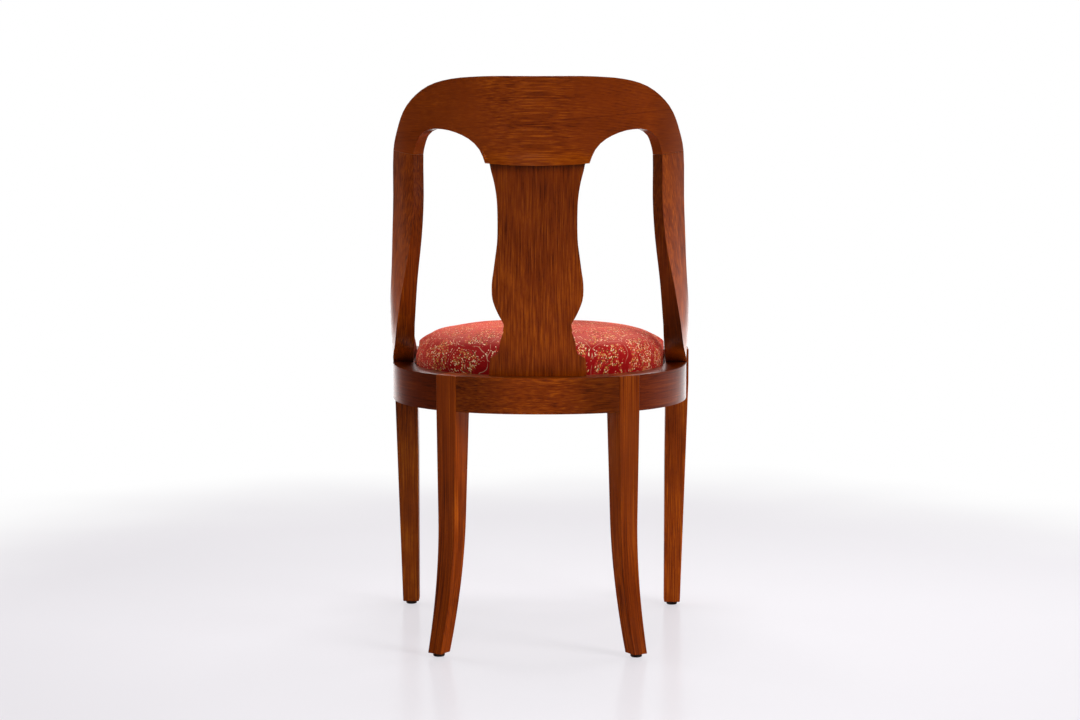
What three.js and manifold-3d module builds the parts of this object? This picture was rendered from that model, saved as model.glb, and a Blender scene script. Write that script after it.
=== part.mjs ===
// Lyre back dining chair: a horseshoe seat ring on two sabre legs and two tapered legs, a barrel back of
// two swept stiles, a crest rail and a vase splat, and an upholstered drop-in seat.
// Millimetres, +Z up. The sitter faces -Y, so the sitter's left is +X. Origin: bottom centre of the chair.

import * as THREE from "three";
import Module from "manifold-3d";
import { mergeVertices } from "three/addons/utils/BufferGeometryUtils.js";

const wasm = await Module();
wasm.setup();

// Driving dimensions of the whole chair
const overallHeight = 884;
const seatTop = 431;
const railHeight = 55;
const ringHalfWidth = 232;
const ringBackReach = 221;
const frontLegFaceReach = 214;
const frontRailBow = 10;
const sideFlare = 11;
const seatGap = 0.3;
const cutOverrun = 2;

// Steps round turned pieces and along swept ones
const dowelSides = 12;
const screwSides = 10;
const glideSides = 18;
const stileSteps = 18;
const rearRailSteps = 24;
const sideRailSteps = 32;
const vaseSteps = 28;

// Seat ring rails
const railWidth = 43;
const rabbetInset = 33.6;
const rabbetDepth = 14;
const ringRoundnessPower = 2.22;
const seatCornerRadius = 26;
const railTenonLength = 12;
const railTenonThickness = 9;
const railTenonHeight = 34;
const railTenonInset = 14;
const railTenonRoot = 10;

// Back: a barrel surface that leans and draws together towards the crest
const backInset = 19;
const backSweep = 92;
const backDepthLoss = 52;
const stileSpread = 3;
const stileSpreadRise = 70;
const sweepPower = 1.2;
const barrelRoundnessPower = 2.2;

// Stiles
const stileBaseThickness = 32;
const stileTopThickness = 21;
const stileThinningRise = 230;
const stileBaseFrontReach = 100;
const stileBaseBackReach = 8;
const stileJointRise = 5;
const stileDowelRadius = 5;
const stileDowelLength = 50;
const stileDowelShares = [0.52, 0.84];
const crestDowelRadius = 4;
const crestDowelLength = 36;
const crestDowelShares = [0.32, 0.66];

// Crest rail
const crestHalfWidth = 220.5;
const crestEndDrop = 119;
const crestMiddleDrop = 129.5;
const crestArchRise = 50;
const lipHalfWidth = 77;
const lipSag = 3.5;
const lipProud = 5;
const lipRiseMiddle = 20;
const lipRiseEnd = 10;

// Splat
const splatSetback = 3;
const splatThickness = 11;
const splatFootHalfWidth = 74.6;
const splatTenonHalfWidth = 50;
const splatTenonThickness = 7;
const splatTenonLength = 22;

// Legs and glides
const glideHeight = 5.5;
const glideRadius = 9;
const glidePinRadius = 2;
const glidePinLength = 14;
const rearLegTurn = THREE.MathUtils.degToRad(35.8);
const rearLegTopWidth = 36.5;
const rearLegTopDepth = 36.5;
const rearLegFootWidth = 24;
const rearLegFootDepth = 26;
const rearLegKick = 35;
const rearLegKickHeight = 210;
const rearLegKickPower = 1.9;
const frontLegTopSize = 38.5;
const frontLegFootSize = 26.5;

// Seat pad
const boardThickness = 12;
const coverThickness = 1.5;
const dustCoverThickness = 1;
const dustCoverInset = 2;
const coverDrawIn = 2.5;
const coverWidestRise = 15;
const seatCrownRise = 64;
const seatCrownSetback = 20;
const seatCrownPower = 2.2;
const seatFrontFallShare = 0.22;
const seatCornerFallShare = 0.72;

// Corner blocks and screws
const blockHeight = 30;
const frontBlockSide = 72;
const rearBlockLength = 84;
const rearBlockDepth = 24;
const rearBlockScrewSpacing = 54;
const blockScrewLength = 38;
const frontBlockScrewShare = 0.52;
const seatScrewLength = 40;
const screwRadius = 2;
const screwHeadRadius = 4;
const screwHeadHeight = 2.5;
const screwTipLength = 6;

// The frame's middle lies halfway between the crest's back and the front rail's bow
const crestBackReach = ringBackReach - backInset + backSweep - backDepthLoss;
const seatFrontReach = frontLegFaceReach + frontRailBow;
const ringMiddleY = (seatFrontReach - crestBackReach) / 2;
const ringBottom = seatTop - railHeight;
const rabbetFloor = seatTop - rabbetDepth;
const stileJointHeight = overallHeight - crestEndDrop;
const lipCornerHeight = overallHeight - crestMiddleDrop;

const quarterTurn = Math.PI / 2;

function clampShare(value) {
  return THREE.MathUtils.clamp(value, 0, 1);
}

function easeShare(value) {
  return THREE.MathUtils.smoothstep(value, 0, 1);
}

// Superellipse of unit half axes at a turn from +Y, with its outward normal for the given half axes
function superellipse(turn, halfWidth, depth, power) {
  const sine = Math.abs(Math.sin(turn));
  const cosine = Math.abs(Math.cos(turn));
  const radius = (sine ** power + cosine ** power) ** (-1 / power);
  const across = radius * sine;
  const along = radius * cosine;
  const normal = new THREE.Vector2(across ** (power - 1) / halfWidth, along ** (power - 1) / depth);
  return { across, along, normal: normal.normalize() };
}

function turnFromShares(across, along) {
  return Math.atan2(across, along);
}

// Closed surface from a row of stations, each an outer and an inner line of points
function bandGeometry(stations) {
  const rowLength = stations[0].outer.length;
  const positions = [];
  for (const station of stations) {
    for (const point of [...station.outer, ...station.inner]) {
      positions.push(point.x, point.y, point.z);
    }
  }
  const stride = 2 * rowLength;
  const index = [];
  const quad = (a, b, c, d) => index.push(a, b, c, a, c, d);
  for (let row = 0; row + 1 < stations.length; row += 1) {
    const here = row * stride;
    const next = here + stride;
    for (let column = 0; column + 1 < rowLength; column += 1) {
      quad(here + column, next + column, next + column + 1, here + column + 1);
      const inner = rowLength + column;
      quad(here + inner, here + inner + 1, next + inner + 1, next + inner);
    }
    const last = rowLength - 1;
    quad(here + last, next + last, next + rowLength + last, here + rowLength + last);
    quad(here, here + rowLength, next + rowLength, next);
  }
  const end = (stations.length - 1) * stride;
  for (let column = 0; column + 1 < rowLength; column += 1) {
    const inner = rowLength + column;
    quad(column, column + 1, inner + 1, inner);
    quad(end + column, end + inner, end + inner + 1, end + column + 1);
  }
  return outwardGeometry(positions, index);
}

// Geometry whose faces point out, whichever way its outline was walked
function outwardGeometry(positions, index) {
  const geometry = new THREE.BufferGeometry();
  geometry.setAttribute("position", new THREE.Float32BufferAttribute(positions, 3));
  let volume = 0;
  const corner = (item) => new THREE.Vector3().fromArray(positions, 3 * index[item]);
  for (let item = 0; item < index.length; item += 3) {
    volume += corner(item).dot(corner(item + 1).cross(corner(item + 2)));
  }
  geometry.setIndex(volume < 0 ? index.slice().reverse() : index);
  return geometry;
}

function toSolid(geometry) {
  const plain = geometry.clone();
  plain.deleteAttribute("normal");
  plain.deleteAttribute("uv");
  const merged = mergeVertices(plain);
  return new wasm.Manifold(
    new wasm.Mesh({
      numProp: 3,
      vertProperties: new Float32Array(merged.attributes.position.array),
      triVerts: new Uint32Array(merged.index.array),
    }),
  );
}

function fromSolid(solid) {
  const mesh = solid.getMesh();
  const geometry = new THREE.BufferGeometry();
  geometry.setAttribute("position", new THREE.BufferAttribute(new Float32Array(mesh.vertProperties), 3));
  geometry.setIndex(new THREE.BufferAttribute(new Uint32Array(mesh.triVerts), 1));
  return geometry;
}

function joined(geometry, additions) {
  let solid = toSolid(geometry);
  for (const addition of additions) {
    solid = solid.add(toSolid(addition));
  }
  return fromSolid(solid);
}

function cutBy(geometry, tools) {
  let solid = toSolid(geometry);
  for (const tool of tools) {
    solid = solid.subtract(toSolid(tool));
  }
  return fromSolid(solid);
}

function commonOf(geometry, other) {
  return fromSolid(toSolid(geometry).intersect(toSolid(other)));
}

// Straight prism over a plan outline
function prismGeometry(outline, bottom, height) {
  const shape = new THREE.Shape(outline);
  const geometry = new THREE.ExtrudeGeometry(shape, { depth: height, bevelEnabled: false });
  return geometry.translate(0, 0, bottom);
}

// Box in a plan frame: along its tangent, outward along its normal, and up
function frameBox(frame, tangentRange, normalRange, heightRange) {
  const corner = (along, outward, z) =>
    new THREE.Vector3(
      frame.origin.x + along * frame.tangent.x + outward * frame.normal.x,
      frame.origin.y + along * frame.tangent.y + outward * frame.normal.y,
      z,
    );
  const station = (along) => ({
    outer: heightRange.map((z) => corner(along, normalRange[1], z)),
    inner: heightRange.map((z) => corner(along, normalRange[0], z)),
  });
  return bandGeometry(tangentRange.map(station));
}

// Turned pieces stand on their own axis, which is then laid along a direction from a start point
function turnedGeometry(profile, start, direction, segments) {
  const geometry = new THREE.LatheGeometry(profile, segments);
  const turn = new THREE.Quaternion().setFromUnitVectors(new THREE.Vector3(0, 1, 0), direction);
  return geometry.applyQuaternion(turn).translate(start.x, start.y, start.z);
}

function dowelGeometry(middle, direction, radius, length, clearance) {
  const fullRadius = radius + clearance;
  const half = length / 2 + clearance;
  const chamfer = radius / 4;
  const profile = [
    new THREE.Vector2(0, -half),
    new THREE.Vector2(fullRadius - chamfer, -half),
    new THREE.Vector2(fullRadius, chamfer - half),
    new THREE.Vector2(fullRadius, half - chamfer),
    new THREE.Vector2(fullRadius - chamfer, half),
    new THREE.Vector2(0, half),
  ];
  return turnedGeometry(profile, middle, direction, dowelSides);
}

// A countersunk wood screw, its head at the start; the hole for it also clears the way in front of the head
function screwGeometry(head, direction, length, clearance, headRoom) {
  const shank = screwRadius + clearance;
  const rim = screwHeadRadius + clearance;
  const tip = length + clearance;
  const profile = [
    new THREE.Vector2(0, -headRoom),
    new THREE.Vector2(rim, -headRoom),
    new THREE.Vector2(rim, screwHeadHeight / 2),
    new THREE.Vector2(shank, screwHeadHeight + clearance),
    new THREE.Vector2(shank, tip - screwTipLength),
    new THREE.Vector2(0, tip),
  ];
  return turnedGeometry(profile, head, direction, screwSides);
}

// Plan of the seat ring

function ringPlan(turn, inset) {
  const side = turn < 0 ? -1 : 1;
  const size = Math.abs(turn);
  const place = new THREE.Vector2();
  const normal = new THREE.Vector2();
  if (size <= quarterTurn) {
    const curve = superellipse(size, ringHalfWidth, ringBackReach, ringRoundnessPower);
    place.set(ringHalfWidth * curve.across, ringMiddleY + ringBackReach * curve.along);
    normal.copy(curve.normal);
  } else {
    const forward = ringBackReach * (size - quarterTurn);
    const share = forward / frontLegFaceReach;
    place.set(ringHalfWidth + sideFlare * share ** 2, ringMiddleY - forward);
    normal.set(1, (2 * sideFlare * share) / frontLegFaceReach).normalize();
  }
  place.addScaledVector(normal, -inset);
  return { place: place.setX(side * place.x), normal: normal.setX(side * normal.x) };
}

function turnForward(forward) {
  return quarterTurn + forward / ringBackReach;
}

function frontLineY(x, inset) {
  const share = x / ringHalfWidth;
  return ringMiddleY - frontLegFaceReach - frontRailBow * (1 - share ** 2) + inset;
}

function pointAt(spot, z) {
  return new THREE.Vector3(spot.x, spot.y, z);
}

// Closed plan line of the ring, moved inwards, with round front corners
function ringOutline(inset) {
  const cornerForward = frontLegFaceReach - inset - seatCornerRadius;
  const cornerTurn = turnForward(cornerForward);
  const half = [];
  const sideSteps = 18;
  for (let step = 0; step <= sideSteps; step += 1) {
    half.push(ringPlan((cornerTurn * step) / sideSteps, inset).place);
  }
  const cornerStart = half[half.length - 1];
  const cornerEndX = cornerStart.x - seatCornerRadius;
  const cornerDrop = cornerStart.y - frontLineY(cornerEndX, inset);
  const cornerSteps = 5;
  for (let step = 1; step <= cornerSteps; step += 1) {
    const turn = (quarterTurn * step) / cornerSteps;
    const x = cornerEndX + seatCornerRadius * Math.cos(turn);
    half.push(new THREE.Vector2(x, cornerStart.y - cornerDrop * Math.sin(turn)));
  }
  const frontSteps = 4;
  for (let step = 1; step <= frontSteps; step += 1) {
    const x = cornerEndX * (1 - step / frontSteps);
    half.push(new THREE.Vector2(x, frontLineY(x, inset)));
  }
  const mirrored = half.slice(1, -1).reverse().map((point) => new THREE.Vector2(-point.x, point.y));
  return [...half, ...mirrored];
}

// Plan of the back's barrel at a height

function barrelAt(z) {
  const rise = Math.max(z - seatTop, 0);
  const sweep = (rise / (overallHeight - seatTop)) ** sweepPower;
  return {
    halfWidth: ringHalfWidth + stileSpread * easeShare(rise / stileSpreadRise),
    middleY: ringMiddleY + backSweep * sweep,
    depth: ringBackReach - backInset - backDepthLoss * sweep,
  };
}

function barrelPoint(turn, z, inset) {
  const barrel = barrelAt(z);
  const side = turn < 0 ? -1 : 1;
  const size = Math.abs(turn);
  const place = new THREE.Vector2(barrel.halfWidth, barrel.middleY);
  const normal = new THREE.Vector2(1, 0);
  if (size <= quarterTurn) {
    const curve = superellipse(size, barrel.halfWidth, barrel.depth, barrelRoundnessPower);
    place.set(barrel.halfWidth * curve.across, barrel.middleY + barrel.depth * curve.along);
    normal.copy(curve.normal);
  } else {
    place.y -= barrel.depth * (size - quarterTurn);
  }
  place.addScaledVector(normal, -inset);
  return new THREE.Vector3(side * place.x, place.y, z);
}

function barrelTurnAtX(x, z) {
  const across = clampShare(x / barrelAt(z).halfWidth);
  const along = (1 - across ** barrelRoundnessPower) ** (1 / barrelRoundnessPower);
  return turnFromShares(across, along);
}

// The turn whose place lies a reach behind the ring's middle, or in front of it where negative
function barrelTurnAtReach(reach, z) {
  const barrel = barrelAt(z);
  const along = (ringMiddleY + reach - barrel.middleY) / barrel.depth;
  if (along <= 0) {
    return quarterTurn - along;
  }
  return turnFromShares((1 - along ** barrelRoundnessPower) ** (1 / barrelRoundnessPower), along);
}

// Edge lines of the back are drawn unrolled: turn along the barrel, scaled to a length, against height

function unrolled(turn, z) {
  return new THREE.Vector3(turn * ringBackReach, z, 0);
}

function unrolledAtX(x, z) {
  return unrolled(barrelTurnAtX(x, z), z);
}

function unrolledAtReach(reach, z) {
  return unrolled(barrelTurnAtReach(reach, z), z);
}

// Evenly spaced points on the stretch of a smooth line between two of its drawn points
function stretchPoints(points, first, last, steps) {
  const curve = new THREE.CatmullRomCurve3(points, false, "centripetal");
  const fineSteps = 200;
  const fine = [];
  for (let step = 0; step <= fineSteps; step += 1) {
    fine.push(curve.getPoint((first + ((last - first) * step) / fineSteps) / (points.length - 1)));
  }
  const travelled = [0];
  for (let step = 1; step <= fineSteps; step += 1) {
    travelled.push(travelled[step - 1] + fine[step].distanceTo(fine[step - 1]));
  }
  const total = travelled[fineSteps];
  const picked = [];
  let cursor = 0;
  for (let step = 0; step <= steps; step += 1) {
    const wanted = (total * step) / steps;
    while (cursor < fineSteps - 1 && travelled[cursor + 1] < wanted) {
      cursor += 1;
    }
    const part = (wanted - travelled[cursor]) / (travelled[cursor + 1] - travelled[cursor]);
    picked.push(fine[cursor].clone().lerp(fine[cursor + 1], clampShare(part)));
  }
  return picked;
}

// Front edge of the stile, then the top edge of the crest: reach or half width, each with its height
const stileRise = stileJointHeight - seatTop;
const frontEdgeRiseShares = [0, 0.115, 0.22, 0.36, 0.485, 0.63, 0.775];
const frontEdgeReaches = [-stileBaseFrontReach, -50, 10, 57, 79, 95, 110];
const jointFrontReach = 129;
const crestTopWidthShares = [0.969, 0.926, 0.868, 0.77, 0.683, 0.553, 0.43, 0.32, 0];
const crestTopRiseShares = [0.32, 0.535, 0.69, 0.845, 0.92, 0.973, 0.992, 1, 1];

// Back edge of the stile, then the lower edge of the crest as far as the lip's corner
const backEdgeRiseShares = [0, 0.093, 0.218, 0.413, 0.557, 0.653, 0.79];
const backEdgeReaches = [stileBaseBackReach, 63, 90, 121, 141, 151, 161];
const jointBackReach = 172;
const archWidthShares = [0.845, 0.805, 0.735, 0.61, 0.495, 0.436, 0.398, 0.377, 0.358];
const archRiseShares = [0.36, 0.79, 0.985, 0.975, 0.795, 0.62, 0.44, 0.26, 0.095];

const jointOuterIndex = frontEdgeReaches.length;
const jointInnerIndex = backEdgeReaches.length;
const shoulderOuterIndex = jointOuterIndex + 2;
const shoulderInnerIndex = jointInnerIndex + 2;

function outerEdgePoints() {
  const points = frontEdgeReaches.map((reach, item) =>
    unrolledAtReach(reach, seatTop + stileRise * frontEdgeRiseShares[item]),
  );
  points.push(unrolledAtReach(jointFrontReach, stileJointHeight + stileJointRise));
  crestTopWidthShares.forEach((share, item) => {
    const z = stileJointHeight + crestEndDrop * crestTopRiseShares[item];
    points.push(unrolledAtX(crestHalfWidth * share, z));
  });
  return points;
}

function innerEdgePoints() {
  const points = backEdgeReaches.map((reach, item) =>
    unrolledAtReach(reach, seatTop + stileRise * backEdgeRiseShares[item]),
  );
  points.push(unrolledAtReach(jointBackReach, stileJointHeight));
  archWidthShares.forEach((share, item) => {
    const z = lipCornerHeight + crestArchRise * archRiseShares[item];
    points.push(unrolledAtX(crestHalfWidth * share, z));
  });
  points.push(unrolledAtX(lipHalfWidth, lipCornerHeight));
  return points;
}

function lipBottomAt(x) {
  return lipCornerHeight - lipSag * (1 - clampShare(Math.abs(x) / lipHalfWidth) ** 2);
}

function lipPoints(steps) {
  const points = [];
  for (let step = 0; step <= steps; step += 1) {
    const x = lipHalfWidth * (1 - step / steps);
    points.push(unrolledAtX(x, lipBottomAt(x)));
  }
  return points;
}

function frameThicknessAt(z) {
  const share = easeShare((z - seatTop) / stileThinningRise);
  return stileBaseThickness + (stileTopThickness - stileBaseThickness) * share;
}

// One rung of the back frame, from its outer edge to its inner edge, as an outer and an inner line
function frameRung(outerEdge, innerEdge, shares, lift, proudAt) {
  const outer = [];
  const inner = [];
  for (const share of shares) {
    const spot = outerEdge.clone().lerp(innerEdge, share);
    const turn = spot.x / ringBackReach;
    const z = spot.y + lift;
    outer.push(barrelPoint(turn, z, -proudAt(share)));
    inner.push(barrelPoint(turn, z, frameThicknessAt(z)));
  }
  return { outer, inner };
}

function mirroredStation(station) {
  const flip = (point) => new THREE.Vector3(-point.x, point.y, point.z);
  return { outer: station.outer.map(flip), inner: station.inner.map(flip) };
}

function mirroredGeometry(geometry) {
  const positions = Array.from(geometry.attributes.position.array);
  for (let item = 0; item < positions.length; item += 3) {
    positions[item] = -positions[item];
  }
  return outwardGeometry(positions, Array.from(geometry.index.array));
}

const outerEdge = outerEdgePoints();
const innerEdge = innerEdgePoints();

// Stile: from the ring up to the crest's joint
const stileFront = stretchPoints(outerEdge, 0, jointOuterIndex, stileSteps);
const stileBack = stretchPoints(innerEdge, 0, jointInnerIndex, stileSteps);

function noProud() {
  return 0;
}

function stileStations() {
  const shares = [0, 0.2, 0.4, 0.6, 0.8, 1];
  return stileFront.map((front, step) => {
    let lift = 0;
    if (step === 0) {
      lift = seatGap;
    }
    if (step === stileSteps) {
      lift = -seatGap / 2;
    }
    return frameRung(front, stileBack[step], shares, lift, noProud);
  });
}

// Where the two dowels of a crest joint lie, and the way they run
function crestDowelPlaces() {
  const spotAt = (front, back, share) => {
    const spot = front.clone().lerp(back, share);
    return barrelPoint(spot.x / ringBackReach, spot.y, frameThicknessAt(spot.y) / 2);
  };
  const below = stileSteps - 1;
  return crestDowelShares.map((share) => {
    const middle = spotAt(stileFront[stileSteps], stileBack[stileSteps], share);
    const under = spotAt(stileFront[below], stileBack[below], share);
    return { middle, direction: middle.clone().sub(under).normalize() };
  });
}

function stileDowelPlaces() {
  const baseLength = stileBaseFrontReach + stileBaseBackReach;
  return stileDowelShares.map((share) => ({
    middle: new THREE.Vector3(
      ringHalfWidth - stileBaseThickness / 2,
      ringMiddleY - stileBaseFrontReach + baseLength * share,
      seatTop,
    ),
    direction: new THREE.Vector3(0, 0, 1),
  }));
}

function crestDowel(place, clearance) {
  return dowelGeometry(place.middle, place.direction, crestDowelRadius, crestDowelLength, clearance);
}

function stileDowel(place, clearance) {
  return dowelGeometry(place.middle, place.direction, stileDowelRadius, stileDowelLength, clearance);
}

function leftStile() {
  const holes = [
    ...crestDowelPlaces().map((place) => crestDowel(place, seatGap)),
    ...stileDowelPlaces().map((place) => stileDowel(place, seatGap)),
  ];
  return cutBy(bandGeometry(stileStations()), holes);
}

// Crest: from the left joint over the middle to the right joint, with the lip that stands proud
function crestHalfStations() {
  const shoulderSteps = 6;
  const archSteps = 12;
  const lipSteps = 6;
  const last = outerEdge.length - 1;
  const lipOuterIndex = last - 1;
  const outer = [
    ...stretchPoints(outerEdge, jointOuterIndex, shoulderOuterIndex, shoulderSteps),
    ...stretchPoints(outerEdge, shoulderOuterIndex, lipOuterIndex, archSteps).slice(1),
    ...stretchPoints(outerEdge, lipOuterIndex, last, lipSteps).slice(1),
  ];
  const inner = [
    ...stretchPoints(innerEdge, jointInnerIndex, shoulderInnerIndex, shoulderSteps),
    ...stretchPoints(innerEdge, shoulderInnerIndex, innerEdge.length - 1, archSteps).slice(1),
    ...lipPoints(lipSteps).slice(1),
  ];
  const lipStart = shoulderSteps + archSteps;
  return outer.map((edge, step) => {
    const lipShare = clampShare((step - lipStart) / lipSteps);
    const lipRise = lipRiseEnd + (lipRiseMiddle - lipRiseEnd) * Math.sin(quarterTurn * lipShare);
    const crease = 1 - lipRise / edge.distanceTo(inner[step]);
    const shares = [0, 0.18, 0.36, 0.54, 0.72, 0.88, 1].map((share) => share * crease);
    shares.push((crease + 1) / 2, 1);
    const proud = step >= lipStart ? lipProud : 0;
    const proudAt = (share) => proud * clampShare((share - crease) / (1 - crease));
    return frameRung(edge, inner[step], shares, step === 0 ? seatGap / 2 : 0, proudAt);
  });
}

function crestRail() {
  const half = crestHalfStations();
  const otherHalf = half.slice(0, -1).reverse().map(mirroredStation);
  const holes = crestDowelPlaces().map((place) => crestDowel(place, seatGap));
  const tools = [...holes, ...holes.map(mirroredGeometry), splatTenon(seatTop + stileRise, seatGap)];
  return cutBy(bandGeometry([...half, ...otherHalf]), tools);
}

// Splat: half widths against height, from the foot up to the crest's lip
const splatRise = lipCornerHeight - lipSag - seatTop;
const footShares = [
  [1, 0],
  [0.992, 0.05],
  [0.975, 0.085],
  [0.9, 0.096],
  [0.825, 0.106],
  [0.79, 0.125],
  [0.765, 0.168],
  [0.725, 0.196],
  [0.698, 0.21],
  [0.71, 0.22],
  [0.696, 0.233],
  [0.687, 0.246],
];
const vaseShares = [
  [0.72, 0.262],
  [0.79, 0.289],
  [0.848, 0.318],
  [0.897, 0.346],
  [0.93, 0.378],
  [0.932, 0.448],
  [0.905, 0.49],
  [0.86, 0.567],
  [0.818, 0.645],
  [0.815, 0.81],
  [0.835, 0.865],
  [0.875, 0.92],
  [0.965, 1],
];

function splatRows() {
  const spot = ([width, rise]) => new THREE.Vector3(splatFootHalfWidth * width, seatTop + splatRise * rise, 0);
  const foot = footShares.map(spot);
  const vase = new THREE.CatmullRomCurve3(vaseShares.map(spot), false, "centripetal");
  return [...foot, ...vase.getSpacedPoints(vaseSteps)];
}

// Rows of points across the splat's curved board, each row level or following the crest's lip
function splatBand(rows, backInsetHere, thickness) {
  const acrossShares = [-1, -0.75, -0.5, -0.25, 0, 0.25, 0.5, 0.75, 1];
  const stations = rows.map(({ halfWidth, heightAt }) => {
    const outer = [];
    const inner = [];
    for (const share of acrossShares) {
      const x = halfWidth * share;
      const z = heightAt(x);
      const turn = Math.sign(share) * barrelTurnAtX(Math.abs(x), z);
      outer.push(barrelPoint(turn, z, backInsetHere));
      inner.push(barrelPoint(turn, z, backInsetHere + thickness));
    }
    return { outer, inner };
  });
  return bandGeometry(stations);
}

function splatTenon(middleZ, clearance) {
  const halfWidth = splatTenonHalfWidth + clearance;
  const half = splatTenonLength + clearance;
  const inset = splatSetback + (splatThickness - splatTenonThickness) / 2 - clearance;
  const rows = [middleZ - half, middleZ, middleZ + half].map((z) => ({ halfWidth, heightAt: () => z }));
  return splatBand(rows, inset, splatTenonThickness + 2 * clearance);
}

function backSplat() {
  const body = splatRows();
  const rows = body.map((spot, item) => {
    let heightAt = () => spot.y;
    if (item === 0) {
      heightAt = () => seatTop + seatGap;
    }
    if (item === body.length - 1) {
      heightAt = (x) => lipBottomAt(x) - seatGap;
    }
    return { halfWidth: spot.x, heightAt };
  });
  const board = splatBand(rows, splatSetback, splatThickness);
  return joined(board, [splatTenon(seatTop, 0), splatTenon(seatTop + stileRise, 0)]);
}

// Legs

function rearLegFrame() {
  const { place, normal } = ringPlan(rearLegTurn, 0);
  return { origin: place, normal, tangent: new THREE.Vector2(normal.y, -normal.x) };
}

function rearLegKickAt(z) {
  return rearLegKick * clampShare(1 - z / rearLegKickHeight) ** rearLegKickPower;
}

function legShare(z) {
  return clampShare((z - glideHeight) / (ringBottom - glideHeight));
}

function rearLegStation(z) {
  const frame = rearLegFrame();
  const share = legShare(z);
  const halfWidth = (rearLegFootWidth + (rearLegTopWidth - rearLegFootWidth) * share) / 2;
  const depth = rearLegFootDepth + (rearLegTopDepth - rearLegFootDepth) * share;
  const kick = rearLegKickAt(z);
  const corner = (along, outward) =>
    new THREE.Vector3(
      frame.origin.x + along * frame.tangent.x + outward * frame.normal.x,
      frame.origin.y + along * frame.tangent.y + outward * frame.normal.y,
      z,
    );
  return {
    outer: [corner(-halfWidth, kick), corner(halfWidth, kick)],
    inner: [corner(-halfWidth, kick - depth), corner(halfWidth, kick - depth)],
  };
}

function rearLegStations() {
  const steps = 16;
  const stations = [];
  for (let step = 0; step <= steps; step += 1) {
    stations.push(rearLegStation(glideHeight + (rearLegKickHeight - glideHeight) * (step / steps)));
  }
  stations.push(rearLegStation(ringBottom), rearLegStation(seatTop));
  return stations;
}

function frontLegOuterX() {
  return ringHalfWidth + sideFlare;
}

function frontLegStation(z) {
  const size = frontLegFootSize + (frontLegTopSize - frontLegFootSize) * legShare(z);
  const innerX = frontLegOuterX() - frontLegTopSize;
  const backY = ringMiddleY - frontLegFaceReach + frontLegTopSize;
  return {
    outer: [new THREE.Vector3(innerX, backY - size, z), new THREE.Vector3(innerX + size, backY - size, z)],
    inner: [new THREE.Vector3(innerX, backY, z), new THREE.Vector3(innerX + size, backY, z)],
  };
}

function frontLegStations() {
  return [glideHeight, ringBottom / 2, ringBottom, seatTop].map(frontLegStation);
}

function stationMiddle(station) {
  const points = [...station.outer, ...station.inner];
  const sum = points.reduce((total, point) => total.add(point), new THREE.Vector3());
  return sum.divideScalar(points.length);
}

// A rail's tenon runs into the leg's side; the frame stands on the leg's side face and points into the leg
function railTenon(frame, clearance) {
  const middleZ = (seatTop + ringBottom - rabbetDepth / 2) / 2;
  const halfHeight = railTenonHeight / 2 + clearance;
  const outward = -railTenonInset + clearance;
  return frameBox(
    frame,
    [-railTenonRoot, railTenonLength + clearance],
    [outward - railTenonThickness - 2 * clearance, outward],
    [middleZ - halfHeight, middleZ + halfHeight],
  );
}

// Frames on the four leg sides of the left half: where a rail's end meets a leg
function rearLegSideFrame(side) {
  const leg = rearLegFrame();
  const origin = leg.origin.clone().addScaledVector(leg.tangent, (side * rearLegTopWidth) / 2);
  return { origin, normal: leg.normal, tangent: leg.tangent.clone().multiplyScalar(-side) };
}

function frontLegBackFrame() {
  const origin = new THREE.Vector2(frontLegOuterX(), ringMiddleY - frontLegFaceReach + frontLegTopSize);
  return { origin, normal: new THREE.Vector2(1, 0), tangent: new THREE.Vector2(0, -1) };
}

function frontLegInnerFrame() {
  const origin = new THREE.Vector2(frontLegOuterX() - frontLegTopSize, ringMiddleY - frontLegFaceReach);
  return { origin, normal: new THREE.Vector2(0, -1), tangent: new THREE.Vector2(1, 0) };
}

// Everything on the leg's side of a rail end, with the joint's clearance
function railEndTool(frame) {
  const reach = 2 * railWidth;
  return frameBox(frame, [-seatGap, reach], [-reach, reach], [ringBottom - cutOverrun, seatTop + cutOverrun]);
}

// Where the front rail's ledge passes the end of a side rail
function frontRailPassage() {
  const right = frontLegOuterX() - frontLegTopSize;
  const left = right - railWidth;
  const outline = [left, right].map((x) => new THREE.Vector2(x, frontLineY(x, railWidth + seatGap)));
  outline.push(new THREE.Vector2(right, frontLineY(right, 0)), new THREE.Vector2(left, frontLineY(left, 0)));
  return prismGeometry(outline, ringBottom - cutOverrun, railHeight + 2 * cutOverrun);
}

function seatPocket() {
  return prismGeometry(ringOutline(rabbetInset), rabbetFloor, rabbetDepth + cutOverrun);
}

function glideGeometry(spot, clearance) {
  const radius = glideRadius;
  const edge = glideHeight / 4;
  const pinRadius = glidePinRadius + clearance;
  const profile = [
    new THREE.Vector2(0, 0),
    new THREE.Vector2(radius - edge, 0),
    new THREE.Vector2(radius, edge),
    new THREE.Vector2(radius, glideHeight - seatGap),
    new THREE.Vector2(pinRadius, glideHeight - seatGap),
    new THREE.Vector2(pinRadius, glideHeight + glidePinLength + clearance),
    new THREE.Vector2(0, glideHeight + glidePinLength + clearance),
  ];
  return turnedGeometry(profile, pointAt(spot, 0), new THREE.Vector3(0, 0, 1), glideSides);
}

function rearLeftLeg() {
  const stations = rearLegStations();
  const tools = [
    railTenon(rearLegSideFrame(1), seatGap),
    railTenon(rearLegSideFrame(-1), seatGap),
    seatPocket(),
    glideGeometry(stationMiddle(stations[0]), seatGap),
  ];
  return cutBy(bandGeometry(stations), tools);
}

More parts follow.
